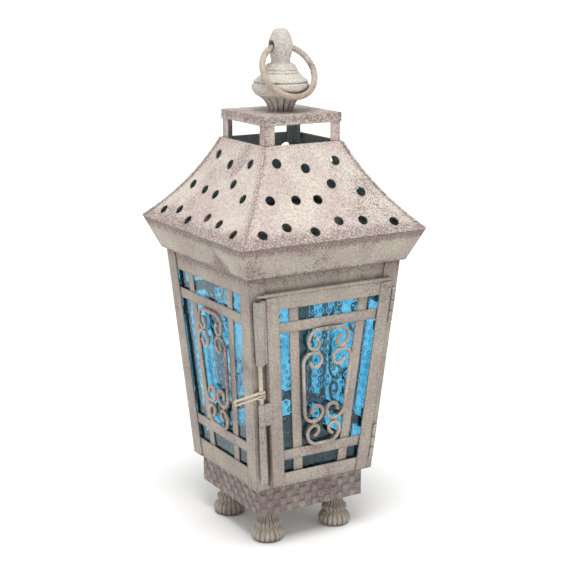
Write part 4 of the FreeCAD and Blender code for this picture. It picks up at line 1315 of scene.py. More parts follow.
@dataclass
class SheetBody:
    """Folded sheet of the body: posts, rails, floor, cornice, vent posts and cap."""

    shop: Workshop
    fold: float = 0.25 * MM
    cap_fold: float = 0.55 * MM
    cornice_fold: float = 0.35 * MM

    def build(self) -> None:
        """Makes every piece of the body."""
        paint = self.shop.paint
        corners = ("front_left", "front_right", "back_left", "back_right")
        groups = (
            ("corner_posts", ["corner_post_" + c for c in corners], self.fold, paint.sheet),
            ("bottom_rails", ["bottom_rail_" + s.word for s in Side], self.fold, paint.sheet),
            ("top_rails", ["top_rail_" + s.word for s in Side], self.fold, paint.sheet),
            ("floor_sheet", ["floor_plate"], self.fold, paint.sheet),
            ("base_sheet", ["base_plate"], self.fold, paint.sheet),
            ("flared_cornice", ["cornice"], self.cornice_fold, paint.cornice),
            ("angle_vent_posts", ["vent_posts"], self.fold, paint.roof),
            ("folded_cap", ["vent_cap"], self.cap_fold, paint.cap),
        )
        for name, nodes, width, finish in groups:
            mesh = softened_nodes(self.shop.frame, nodes, width, finish)
            keep(name, mesh, Body.HOUSING, Slot.SHEET, nodes)
        self._cup()

    def _cup(self) -> None:
        """Makes the candle cup with its rolled rim and coats the small fixings."""
        mesh = softened_nodes(self.shop.frame, ["candle_cup"], 0.1 * MM, self.shop.paint.tin)
        keep("candle_pan", mesh, Body.HOUSING, Slot.SHEET, ["candle_cup"])
        for name in ("cup_rivet", "foot_screws", "finial_nut", "hinge_pins"):
            node = self.shop.frame["nodes"][name]
            node.data.materials.clear()
            node.data.materials.append(self.shop.paint.steel)


def relief_slab(front: Sequence[Vector], back: Sequence[Vector], step: float, fade: float) -> bpy.types.Mesh:
    """Makes a closed slab whose front is a fine grid that a tree can press into.

    Args:
        front: front corners, anticlockwise from the lower left.
        back: back corners in the same order.
        step: size of a grid cell.
        fade: width along the border that stays flat.

    Returns:
        The slab, with across, up and free stored on its points.
    """
    width = max((front[1] - front[0]).length, (front[2] - front[3]).length)
    height = (front[3] - front[0]).length
    columns, rows = math.ceil(width / step), math.ceil(height / step)

    def at(quad: Sequence[Vector], i: int, j: int) -> Vector:
        """Point of a quad at a grid place."""
        s, t = i / columns, j / rows
        return quad[0].lerp(quad[1], s).lerp(quad[3].lerp(quad[2], s), t)

    points = [at(front, i, j) for j in range(rows + 1) for i in range(columns + 1)]
    across, up, free = [], [], []
    for j in range(rows + 1):
        for i in range(columns + 1):
            x, y = i / columns * width, j / rows * height
            edge = min(x, width - x, y, height - y)
            across.append(x - width / 2)
            up.append(y)
            free.append(min(1.0, edge / fade) ** 2 * (3 - 2 * min(1.0, edge / fade)))
    wide = columns + 1
    faces = [
        (j * wide + i, j * wide + i + 1, (j + 1) * wide + i + 1, (j + 1) * wide + i)
        for j in range(rows)
        for i in range(columns)
    ]
    border = [(i, 0) for i in range(columns)] + [(columns, j) for j in range(rows)]
    border += [(columns - i, rows) for i in range(columns)] + [(0, rows - j) for j in range(rows)]
    first_back = len(points)
    points += [at(back, i, j) for i, j in border]
    count = len(border)
    for k in range(count):
        after = (k + 1) % count
        (i, j), (p, q) = border[k], border[after]
        faces.append((q * wide + p, j * wide + i, first_back + k, first_back + after))
    faces.append(tuple(range(first_back + count - 1, first_back - 1, -1)))
    mesh = bpy.data.meshes.new("slab")
    mesh.from_pydata([tuple(p) for p in points], [], faces)
    extra = [0.0] * count
    give(mesh, "across", across + extra)
    give(mesh, "up", up + extra)
    give(mesh, "free", free + extra)
    return mesh


@dataclass
class BaseBand:
    """Embossed band between the feet and the body."""

    shop: Workshop
    half: float = 45.5 * MM
    low: float = 25.6 * MM
    high: float = 48.0 * MM
    sheet: float = 0.8 * MM
    pitch: float = 5.6 * MM
    depth: float = 0.55 * MM
    cell: float = 0.45 * MM

    def build(self) -> None:
        """Makes the four walls as one piece."""
        walls = []
        for side in Side:
            out, inner = self.half - self.depth, self.half - self.sheet - self.depth
            front = self._corners(side, out)
            back = self._corners(side, inner)
            slab = relief_slab(front, back, self.cell, 0.9 * MM)
            facing = side.turn @ Vector((0.0, -1.0, 0.0))
            walls.append(
                self.shop.trees.basket.make(
                    slab, self.shop.paint.band, Pitch=self.pitch, Depth=self.depth, Facing=tuple(facing)
                )
            )
        keep("embossed_band", joined("band", walls), Body.HOUSING, Slot.SHEET, ["base_band"])

    def _corners(self, side: Side, half: float) -> list[Vector]:
        """Corners of one wall.

        Args:
            side: the wall's side.
            half: half the width at that depth.

        Returns:
            Corners anticlockwise from the lower left.
        """
        flat = ((-half, self.low), (half, self.low), (half, self.high), (-half, self.high))
        return [side.turn @ Vector((x, -half, z)) for x, z in flat]


def turned_profile(rows: Sequence[tuple[float, float, float]]) -> bpy.types.Mesh:
    """Makes the profile of a turned piece.

    Args:
        rows: radius, height and fluting of each point, in millimetres.

    Returns:
        A line with its fluting stored on the points.
    """
    smooth = curve_through([Vector(row) for row in rows], 5)
    mesh = polyline([Vector((p.x * MM, 0.0, p.y * MM)) for p in smooth])
    give(mesh, "fluting", [min(1.0, max(0.0, p.z)) for p in smooth])
    return mesh


def curve_through(points: Sequence[Vector], steps: int) -> list[Vector]:
    """Draws a smooth line through points.

    Args:
        points: the points.
        steps: new points for each gap.

    Returns:
        The smooth line.
    """
    ends = [points[0], *points, points[-1]]
    line = []
    for i in range(1, len(ends) - 2):
        a, b, c, d = ends[i - 1], ends[i], ends[i + 1], ends[i + 2]
        for k in range(steps):
            t = k / steps
            line.append(
                0.5 * (
                    2 * b + (c - a) * t + (2 * a - 5 * b + 4 * c - d) * t * t + (3 * b - 3 * c + d - a) * t**3
                )
            )
    return [*line, points[-1].copy()]


@dataclass
class BunFeet:
    """Four cast feet with ribs all round."""

    shop: Workshop
    ribs: int = 18
    groove: float = 1.5 * MM
    profile: tuple[tuple[float, float, float], ...] = (
        (0.0, 0.0, 0.0), (7.0, 0.0, 0.0), (10.2, 0.3, 0.8), (11.6, 1.6, 1.0), (12.6, 4.3, 1.0),
        (12.3, 6.4, 1.0), (11.0, 8.5, 0.8), (9.2, 10.0, 0.45), (8.5, 10.9, 0.35), (9.1, 12.0, 0.6),
        (9.9, 13.4, 0.8), (9.5, 15.0, 0.8), (8.3, 16.3, 0.8), (7.3, 17.4, 0.8), (6.9, 19.5, 0.8),
        (6.9, 23.0, 0.8), (7.6, 25.4, 0.5), (4.0, 25.6, 0.0), (0.0, 25.6, 0.0),
    )

    def build(self) -> None:
        """Makes each foot where its node stands."""
        for corner in ("front_left", "front_right", "back_left", "back_right"):
            node = "foot_" + corner
            low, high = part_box(node)
            mesh = self.shop.trees.turning.make(
                turned_profile(self.profile),
                self.shop.paint.foot,
                Around=204, Along=80, Flutes=self.ribs, Flute_depth=self.groove, Unevenness=0.7 * MM,
                Centre=((low.x + high.x) / 2, (low.y + high.y) / 2, low.z),
            )
            keep("ribbed_" + node, mesh, Body.HOUSING, Slot.CASTING, [node])


@dataclass
class PiercedRoof:
    """Four hollow-curved panels with punched vent holes, and the bead on each corner."""

    shop: Workshop
    eave_half: float = 77.5 * MM
    top_half: float = 32.5 * MM
    eave: float = 236.9 * MM
    top: float = 299.7 * MM
    sag: float = 4.0 * MM
    sheet: float = 0.8 * MM
    hole_radius: float = 3.95 * MM
    burr: float = 0.34 * MM
    bead_radius: float = 0.95 * MM
    rows: int = 30
    columns: int = 36
    holes: tuple[Point2, ...] = (
        (-0.68, 0.81), (-0.09, 0.735), (0.585, 0.79),
        (-0.755, 0.44), (-0.36, 0.42), (-0.03, 0.405), (0.29, 0.55), (0.69, 0.44),
        (-0.80, 0.12), (-0.52, 0.165), (-0.195, 0.10), (0.13, 0.175), (0.42, 0.155), (0.765, 0.11),
    )

    def half_at(self, z: float) -> tuple[float, float]:
        """Half width of the roof and its slope.

        Args:
            z: height.

        Returns:
            Half width, and its change for each metre of height.
        """
        run, rise = self.eave_half - self.top_half, self.top - self.eave
        chord = math.hypot(run, rise)
        radius = chord**2 / (8 * self.sag) + self.sag / 2
        centre = radius - self.sag
        axis_out = (self.eave_half + self.top_half) / 2 + centre * rise / chord
        axis_z = (self.eave + self.top) / 2 + centre * run / chord
        root = math.sqrt(radius**2 - (z - axis_z) ** 2)
        return axis_out - root, (z - axis_z) / root

    def build(self) -> None:
        """Makes the panels and the corner beads."""
        for side in Side:
            mesh = self.shop.trees.punched.make(
                self._panel(side),
                self.shop.paint.roof,
                Hole_radius=self.hole_radius,
                Burr=self.burr,
                Sheet=self.sheet,
            )
            node = "roof_panel_" + side.word
            keep("pierced_panel_" + side.word, mesh, Body.HOUSING, Slot.SHEET, [node])
        beads = []
        for side in Side:
            heights = [self.eave + 0.4 * MM + (self.top - self.eave - 0.8 * MM) * i / 40 for i in range(41)]
            line = [side.turn @ self._corner(z) for z in heights]
            beads.append(
                self.shop.trees.wire.make(
                    polyline(line), self.shop.paint.roof,
                    Wire_radius=self.bead_radius, Spacing=0.5 * MM, Sides=10, Unevenness=0.75, Grain=420.0,
                )
            )
        keep("roof_corner_beads", joined("beads", beads), Body.HOUSING, Slot.SHEET, ["roof_seams"])

    def _corner(self, z: float) -> Vector:
        """Point of the roof's front right corner line.

        Args:
            z: height.

        Returns:
            The point, just outside the fold.
        """
        half = self.half_at(z)[0] + 0.2 * MM
        return Vector((half, -half, z))

    def _panel(self, side: Side) -> bpy.types.Mesh:
        """Makes one panel as a closed curved sheet, with loose points where holes go.

        Args:
            side: the panel's side.

        Returns:
            The panel before punching.
        """
        outer, inner = [], []
        for j in range(self.rows + 1):
            z = self.eave + (self.top - self.eave) * j / self.rows
            half, slope = self.half_at(z)
            length = math.hypot(1.0, slope)
            out, lift = 1.0 / length, -slope / length
            for i in range(self.columns + 1):
                share = 2.0 * i / self.columns - 1.0
                calm = min(1.0, 6.0 * (1.0 - abs(share))) * min(1.0, 6.0 * min(j, self.rows - j) / self.rows)
                spot = side.turn @ Vector((share * half, -half, z))
                wave = 0.28 * MM * noise.noise(spot * 36.0) * calm
                outer.append(Vector((share * half, -half - wave * out, z + wave * lift)))
                deep = self.sheet - wave
                inner.append(Vector((share * (half - deep * out), -half + deep * out, z - deep * lift)))
        points, wide = outer + inner, self.columns + 1
        base, faces = len(outer), []
        for j in range(self.rows):
            for i in range(self.columns):
                a = j * wide + i
                quad = (a, a + 1, a + 1 + wide, a + wide)
                faces.append(quad)
                faces.append(tuple(base + k for k in quad[::-1]))
        last = self.rows * wide
        for i in range(self.columns):
            faces.append((i + 1, i, base + i, base + i + 1))
            faces.append((last + i, last + i + 1, base + last + i + 1, base + last + i))
        for j in range(self.rows):
            a, b = j * wide, j * wide + self.columns
            faces.append((a, a + wide, base + a + wide, base + a))
            faces.append((b + wide, b, base + b, base + b + wide))
        marks, facings = [0.0] * len(points), [Vector((0.0, 0.0, 1.0))] * len(points)
        for share, up in self.holes:
            z = self.eave + (self.top - self.eave) * up
            half, slope = self.half_at(z)
            facing = Vector((0.0, -1.0, -slope)).normalized()
            points.append(Vector((share * half, -half, z)) - facing * self.sheet / 2)
            marks.append(1.0)
            facings.append(facing)
        mesh = bpy.data.meshes.new("panel")
        mesh.from_pydata([tuple(side.turn @ p) for p in points], [], faces)
        give(mesh, "hole", marks)
        give(mesh, "facing", [c for f in facings for c in side.turn @ f], "FLOAT_VECTOR")
        return mesh


@dataclass
class Finial:
    """Cast finial: fluted flare, round bead, stepped cone and an egg with an eye for the ring."""

    shop: Workshop
    flutes: int = 15
    groove: float = 1.7 * MM
    eye_height: float = 367.6 * MM
    ring_radius: float = 21.0 * MM
    ring_wire: float = 2.3 * MM
    play: float = 0.225 * MM
    profile: tuple[tuple[float, float, float], ...] = (
        (0.0, 320.3, 0.0), (9.0, 320.3, 0.4), (9.3, 320.6, 0.9), (9.8, 322.6, 1.0), (10.9, 325.2, 1.0),
        (12.9, 328.2, 1.0), (15.4, 330.4, 0.9), (17.4, 331.6, 0.4), (18.3, 332.0, 0.0), (18.9, 332.7, 0.0),
        (19.6, 333.9, 0.0), (21.1, 335.6, 0.0), (21.5, 337.6, 0.0), (21.0, 339.7, 0.0), (19.8, 341.0, 0.0),
        (19.3, 341.4, 0.0), (19.9, 341.8, 0.0), (19.9, 342.6, 0.0), (19.0, 343.1, 0.0), (16.6, 345.1, 0.0),
        (14.5, 347.0, 0.0), (13.9, 347.6, 0.0), (13.5, 347.9, 0.0), (13.7, 348.3, 0.0), (13.4, 349.0, 0.0),
        (12.5, 349.7, 0.0), (12.2, 350.0, 0.0), (12.4, 350.4, 0.0), (12.0, 351.2, 0.0), (11.0, 353.0, 0.0),
        (10.4, 353.9, 0.0), (9.6, 354.5, 0.0), (7.9, 354.7, 0.0), (7.2, 355.3, 0.0), (7.0, 357.0, 0.0),
        (7.5, 359.5, 0.0), (8.4, 363.0, 0.0), (8.9, 367.0, 0.0), (8.7, 370.0, 0.0), (7.9, 373.2, 0.0),
        (6.7, 376.0, 0.0), (5.6, 378.0, 0.0), (4.4, 379.2, 0.0), (2.4, 379.8, 0.0), (0.0, 379.9, 0.0),
    )

    def build(self) -> None:
        """Turns the finial, then drills its eye."""
        turned = self.shop.trees.turning.make(
            turned_profile(self.profile), self.shop.paint.casting,
            Around=200, Along=220, Flutes=self.flutes, Flute_depth=self.groove, Unevenness=0.35 * MM,
            Centre=(0.0, 0.0, 0.0),
        )
        finial = bpy.data.objects.new("turned", turned)
        drill = bpy.data.objects.new("drill", self._drill())
        for piece in (finial, drill):
            bpy.context.scene.collection.objects.link(piece)
        cut = finial.modifiers.new("Eye", "BOOLEAN")
        cut.operation, cut.solver, cut.object = "DIFFERENCE", "EXACT", drill
        graph = bpy.context.evaluated_depsgraph_get()
        mesh = bpy.data.meshes.new_from_object(finial.evaluated_get(graph), depsgraph=graph)
        bpy.data.objects.remove(finial)
        bpy.data.objects.remove(drill)
        mesh.materials.clear()
        mesh.materials.append(self.shop.paint.casting)
        keep("cast_finial", mesh, Body.HOUSING, Slot.CASTING, ["finial"])

    def _drill(self) -> bpy.types.Mesh:
        """Makes the hourglass cutter that leaves room for the curved ring.

        Returns:
            The cutter, along the X axis.
        """
        shape, rings = bmesh.new(), []
        around, reach = 36, 11.5 * MM
        for i in range(25):
            x = -reach + 2 * reach * i / 24
            inner = self.ring_radius - self.ring_wire
            radius = self.ring_radius + self.play - math.sqrt(inner**2 - x**2)
            rings.append([
                shape.verts.new((x, radius * math.cos(math.tau * k / around),
                                 self.eye_height + radius * math.sin(math.tau * k / around)))
                for k in range(around)
            ])
        for before, after in zip(rings, rings[1:]):
            for k in range(around):
                n = (k + 1) % around
                shape.faces.new((before[k], before[n], after[n], after[k]))
        shape.faces.new(rings[0][::-1])
        shape.faces.new(rings[-1])
        bmesh.ops.recalc_face_normals(shape, faces=shape.faces)
        return to_mesh("drill", shape)


@dataclass
class HangingRing:
    """Wire ring that hangs through the finial's eye and leans on its bead."""

    shop: Workshop
    radius: float = 21.0 * MM
    wire: float = 2.28 * MM
    eye_height: float = 367.6 * MM
    tilt: float = math.radians(32.65)

    def build(self) -> None:
        """Makes the ring."""
        down = Vector((0.0, -math.sin(self.tilt), -math.cos(self.tilt)))
        centre = Vector((0.0, 0.0, self.eye_height)) + down * self.radius
        line = [
            centre + self.radius * (math.cos(a) * Vector((1.0, 0.0, 0.0)) + math.sin(a) * down)
            for a in (math.tau * k / 120 for k in range(120))
        ]
        mesh = self.shop.trees.wire.make(
            polyline(line, True), self.shop.paint.wire,
            Wire_radius=self.wire, Spacing=0.6 * MM, Sides=24, Unevenness=0.09, Grain=260.0,
        )
        keep("wire_ring", mesh, Body.RING, Slot.WIRE, ["hanging_ring"])


# ----------------------------------------------------------- glass, bars, scrolls


@dataclass
class Glazing:
    """Pressed glass panes and the tabs that hold them."""

    shop: Workshop
    cell: float = 0.55 * MM
    spacing: float = 5.0 * MM
    ring_radius: float = 1.45 * MM
    height: float = 0.08 * MM

    def build(self) -> None:
        """Makes a pane for each side, then the tabs."""
        for number, side in enumerate(Side):
            door = side is Side.FRONT
            node = "door_glass" if door else "glass_" + side.word
            front, back = self._corners(node, side)
            mesh = self.shop.trees.rings.make(
                relief_slab(front, back, self.cell, 1.5 * MM), self.shop.paint.glass,
                Spacing=self.spacing, Ring_radius=self.ring_radius, Height=self.height, Seed=11 + number,
                Facing=tuple(BODY.facing(side)),
            )
            body = Body.DOOR if door else Body.HOUSING
            keep("pressed_" + node, mesh, body, Slot.GLASS, [node])
        for node, body in (("glass_clips", Body.HOUSING), ("door_glass_clips", Body.DOOR)):
            mesh = softened_nodes(self.shop.frame, [node], 0.12 * MM, self.shop.paint.tin)
            keep("bent_" + node, mesh, body, Slot.CLIP, [node])

    def _corners(self, node: str, side: Side) -> tuple[list[Vector], list[Vector]]:
        """Reads a pane's corners from its node.

        Args:
            node: the pane's node.
            side: the side that it closes.

        Returns:
            Front and back corners, anticlockwise from the lower left.
        """
        facing = BODY.facing(side)
        right = side.turn @ Vector((1.0, 0.0, 0.0))
        corners = {tuple(round(c, 7) for c in v.co) for v in self.shop.frame["nodes"][node].data.vertices}
        points = sorted((Vector(c) for c in corners), key=lambda p: p.dot(facing))
        layers = []
        for layer in (points[4:8], points[0:4]):
            low, high = sorted(layer, key=lambda p: p.z)[:2], sorted(layer, key=lambda p: p.z)[2:]
            low.sort(key=lambda p: p.dot(right))
            high.sort(key=lambda p: p.dot(right))
            layers.append([low[0], low[1], high[1], high[0]])
        return layers[0], layers[1]


@dataclass
class WindowBars:
    """Flat bars across and up each window."""

    shop: Workshop
    fold: float = 0.22 * MM

    def build(self) -> None:
        """Makes the bars of every side and of the door."""
        for kind in ("cross_bars", "upright_bars"):
            for side in (Side.RIGHT, Side.BACK, Side.LEFT):
                self._bars(f"{kind}_{side.word}", Body.HOUSING)
            self._bars("door_" + kind, Body.DOOR)

    def _bars(self, node: str, body: Body) -> None:
        """Makes one pair of bars.

        Args:
            node: the pair's node.
            body: the body that it rides on.
        """
        mesh = softened_nodes(self.shop.frame, [node], self.fold, self.shop.paint.sheet)
        keep("flat_" + node, mesh, body, Slot.SHEET, [node])


@dataclass
class Scrollwork:
    """Four wire scrolls between the bars of a window."""

    shop: Workshop
    side: Side
    node: str
    body: Body
    low: float
    high: float
    shift: float
    off: float
    wire: float = 1.3 * MM
    bar_width: float = 8.0 * MM
    edge_gap: float = 0.9 * MM
    inset: float = 36.5 * MM
    clear: float = 0.3 * MM
    arch: tuple[tuple[float, ...], ...] = ((8.6, 90), (7.0, 60), (3.9, 130), (5.0, 45), (2.0,))
    upright: tuple[tuple[float, ...], ...] = ((8.5, 75), (7.4, 80), (5.3, 115), (4.0, 75), (2.5,))

    def build(self) -> None:
        """Makes the wires and their solder dabs."""
        wires = self._lines()
        place = BODY.placer(self.side)
        meshes = [
            self.shop.trees.wire.make(
                polyline([place(x + self.shift, y, self.off) for x, y in line]), self.shop.paint.wire,
                Wire_radius=self.wire, Spacing=0.45 * MM, Sides=12, Unevenness=0.3, Grain=330.0,
            )
            for line in wires
        ]
        spots = [place(x + self.shift, y, self.off) for x, y in self._joins(wires)]
        dabs = bpy.data.meshes.new("dabs")
        dabs.from_pydata([tuple(p) for p in spots], [], [])
        meshes.append(
            self.shop.trees.solder.make(
                dabs, self.shop.paint.wire, Dab_radius=1.25 * MM, Seed=5 + round(self.side.value)
            )
        )
        keep("bent_" + self.node, joined("scrolls", meshes), self.body, Slot.WIRE, [self.node])

    @staticmethod
    def _scaled(bends: Sequence[tuple[float, ...]]) -> list[tuple[float, ...]]:
        """Gives bends in metres.

        Args:
            bends: runs and bends in millimetres.

        Returns:
            The same in metres.
        """
        return [(b[0] * MM, *b[1:]) for b in bends]

    def _scroll(
        self, start: Point2, heading: float, run: float, bends: Sequence[tuple[float, ...]]
    ) -> list[Point2]:
        """Bends one C-shaped scroll out of both ends of its middle run.

        Args:
            start: middle of the run.
            heading: direction of one half in degrees.
            run: half the run's length.
            bends: bends of a half.

        Returns:
            Points along the scroll.
        """
        moves = [(run,), *self._scaled(bends)]
        mirrored = [(m[0], -m[1]) if len(m) == 2 else m for m in moves]
        ahead = bent_path(start, heading, moves)
        behind = bent_path(start, heading + 180.0, mirrored)
        return behind[:0:-1] + ahead

    def _lines(self) -> list[list[Point2]]:
        """Lays out the four scrolls.

        Returns:
            Top arch, bottom arch, left and right scroll.
        """
        arch = bent_path((0.0, 0.0), 0.0, self._scaled(self.arch))
        upright = bent_path((0.0, 0.0), 0.0, self._scaled(self.upright))
        out, depth = max(x for x, _ in arch), max(y for _, y in arch)
        top = self.high - self.bar_width / 2 - self.edge_gap
        bottom = self.low + self.bar_width / 2 + self.edge_gap
        side_top, side_bottom = top - depth - 2 * self.wire, bottom + depth + 2 * self.wire
        middle = (side_top + side_bottom) / 2
        run = (side_top - side_bottom) / 2 - max(x for x, _ in upright)
        lines = [
            self._scroll((0.0, top), 180.0, self._cell(top) - 7.2 * MM - out, self.arch),
            self._scroll((0.0, bottom), 0.0, self._cell(bottom) - 2.9 * MM - out, self.arch),
        ]
        for hand in (-1.0, 1.0):
            across = hand * (self._cell(middle) - self.wire - self.clear)
            turn = Matrix.Rotation(-hand * BODY.edge_lean, 2)
            pivot = Vector((across, middle))
            line = self._scroll((across, middle), 90.0 * hand, run, self.upright)
            lines.append([tuple(pivot + turn @ (Vector(p) - pivot)) for p in line])
        return lines

    def _cell(self, up: float) -> float:
        """Half the width between the upright bars.

        Args:
            up: distance up the slope.

        Returns:
            The half width.
        """
        return BODY.half_at(up) - self.inset

    def _joins(self, lines: Sequence[Sequence[Point2]]) -> list[Point2]:
        """Finds where the scrolls touch each other and the bars.

        Args:
            lines: the four scrolls.

        Returns:
            Places of the solder dabs.
        """
        places = [(0.0, self.high - self.bar_width / 2), (0.0, self.low + self.bar_width / 2)]
        for arch in lines[:2]:
            for upright in lines[2:]:
                near = min(
                    ((Vector(p) - Vector(q)).length, p, q) for p in arch[::2] for q in upright[::2]
                )
                places.append(tuple((Vector(near[1]) + Vector(near[2])) / 2))
        return places


# -------------------------------------------------------------- door and bolt


@dataclass(frozen=True)
class DoorEdge:
    """Line beside a long edge of the door; the hinge and the bolt lie on such lines."""

    hand: float
    reach: float
    off: float
    inset: float = 9.0 * MM
    shift: float = 1.5 * MM

    def place(self, across: float, along: float, off: float) -> Vector:
        """Places a point beside the line.

        Args:
            across: distance to the right of the line.
            along: distance up the line.
            off: distance out of the face from the line.

        Returns:
            The point.
        """
        lean = -self.hand * BODY.edge_lean
        start = self.hand * (BODY.half_at(0.0) - self.inset + self.reach / math.cos(lean)) + self.shift
        x = start + across * math.cos(lean) - along * math.sin(lean)
        y = across * math.sin(lean) + along * math.cos(lean)
        return BODY.placer(Side.FRONT)(x, y, self.off + off)


@dataclass
class Door:
    """Hinged door: folded pan, face strips, rolled hem and hinges."""

    shop: Workshop
    low: float = 3.0 * MM
    high: float = 153.78 * MM
    inset: float = 9.0 * MM
    stile: float = 10.5 * MM
    shift: float = 1.5 * MM
    face: float = 4.5 * MM
    strip: float = 0.4 * MM
    corner: float = 2.6 * MM
    hem: float = 1.0 * MM
    hem_overrun: float = 0.13

    def build(self) -> None:
        """Makes the door and its hinges."""
        paint, place = self.shop.paint, BODY.placer(Side.FRONT)
        pan = softened_nodes(self.shop.frame, ["door_frame"], 0.35 * MM, paint.sheet)
        strips = bmesh.new()
        for hand in (-1.0, 1.0):
            add_prism(
                strips, self._strip(hand), place, self.face - 0.2 * MM, self.face + self.strip, 0.14 * MM
            )
        hem = self.shop.trees.wire.make(
            polyline(
                [self._edge(share, self.high - 0.6 * MM, self.face - 0.35 * MM) for share in self._hem_run()]
            ),
            paint.sheet,
            Wire_radius=self.hem, Spacing=0.8 * MM, Sides=14, Unevenness=0.22, Grain=140.0,
        )
        face = to_mesh("strips", strips, paint.sheet)
        keep("folded_door_pan", joined("pan", [pan, face, hem]), Body.DOOR, Slot.SHEET, ["door_frame"])
        for node, body in (("frame_knuckles", Body.HOUSING), ("door_knuckles", Body.DOOR)):
            mesh = softened_nodes(self.shop.frame, [node], 0.22 * MM, paint.sheet)
            keep("rolled_" + node, mesh, body, Slot.SHEET, [node])

    def _hem_run(self) -> list[float]:
        """Places along the rolled hem, which runs on past the bolt's side.

        Returns:
            Shares of the half width, left to right.
        """
        start = -1.0 - self.hem_overrun
        return [start + (1.0 - start) * i / 44.0 for i in range(45)]

    def _half(self, up: float) -> float:
        """Half the door's width.

        Args:
            up: distance up the slope.

        Returns:
            The half width.
        """
        return BODY.half_at(up) - self.inset

    def _edge(self, share: float, up: float, off: float) -> Vector:
        """Point on a level line across the door.

        Args:
            share: place from -1 at the left edge to 1 at the right.
            up: distance up the slope.
            off: height off the face.

        Returns:
            The point.
        """
        half = self._half(up) - 0.5 * MM
        return BODY.placer(Side.FRONT)(share * half + self.shift, up, off)

    def _strip(self, hand: float) -> list[Point2]:
        """Outline of a stile's face strip, rounded at its inner upper corner.

        Args:
            hand: -1 for the left stile, 1 for the right.

        Returns:
            Corners anticlockwise.
        """
        edge = 0.25 * MM
        low, high = self.low + edge, self.high - 2.2 * self.hem
        outline = [(self._half(low) - edge, low), (self._half(high) - edge, high)]
        for i in range(9):
            angle = math.radians(90.0 * i / 8)
            y = high - self.corner * (1.0 - math.cos(angle))
            outline.append((self._half(y) - self.stile + self.corner * (1.0 - math.sin(angle)), y))
        outline.append((self._half(low) - self.stile, low))
        placed = [(hand * x + self.shift, y) for x, y in outline]
        return placed if hand > 0 else placed[::-1]


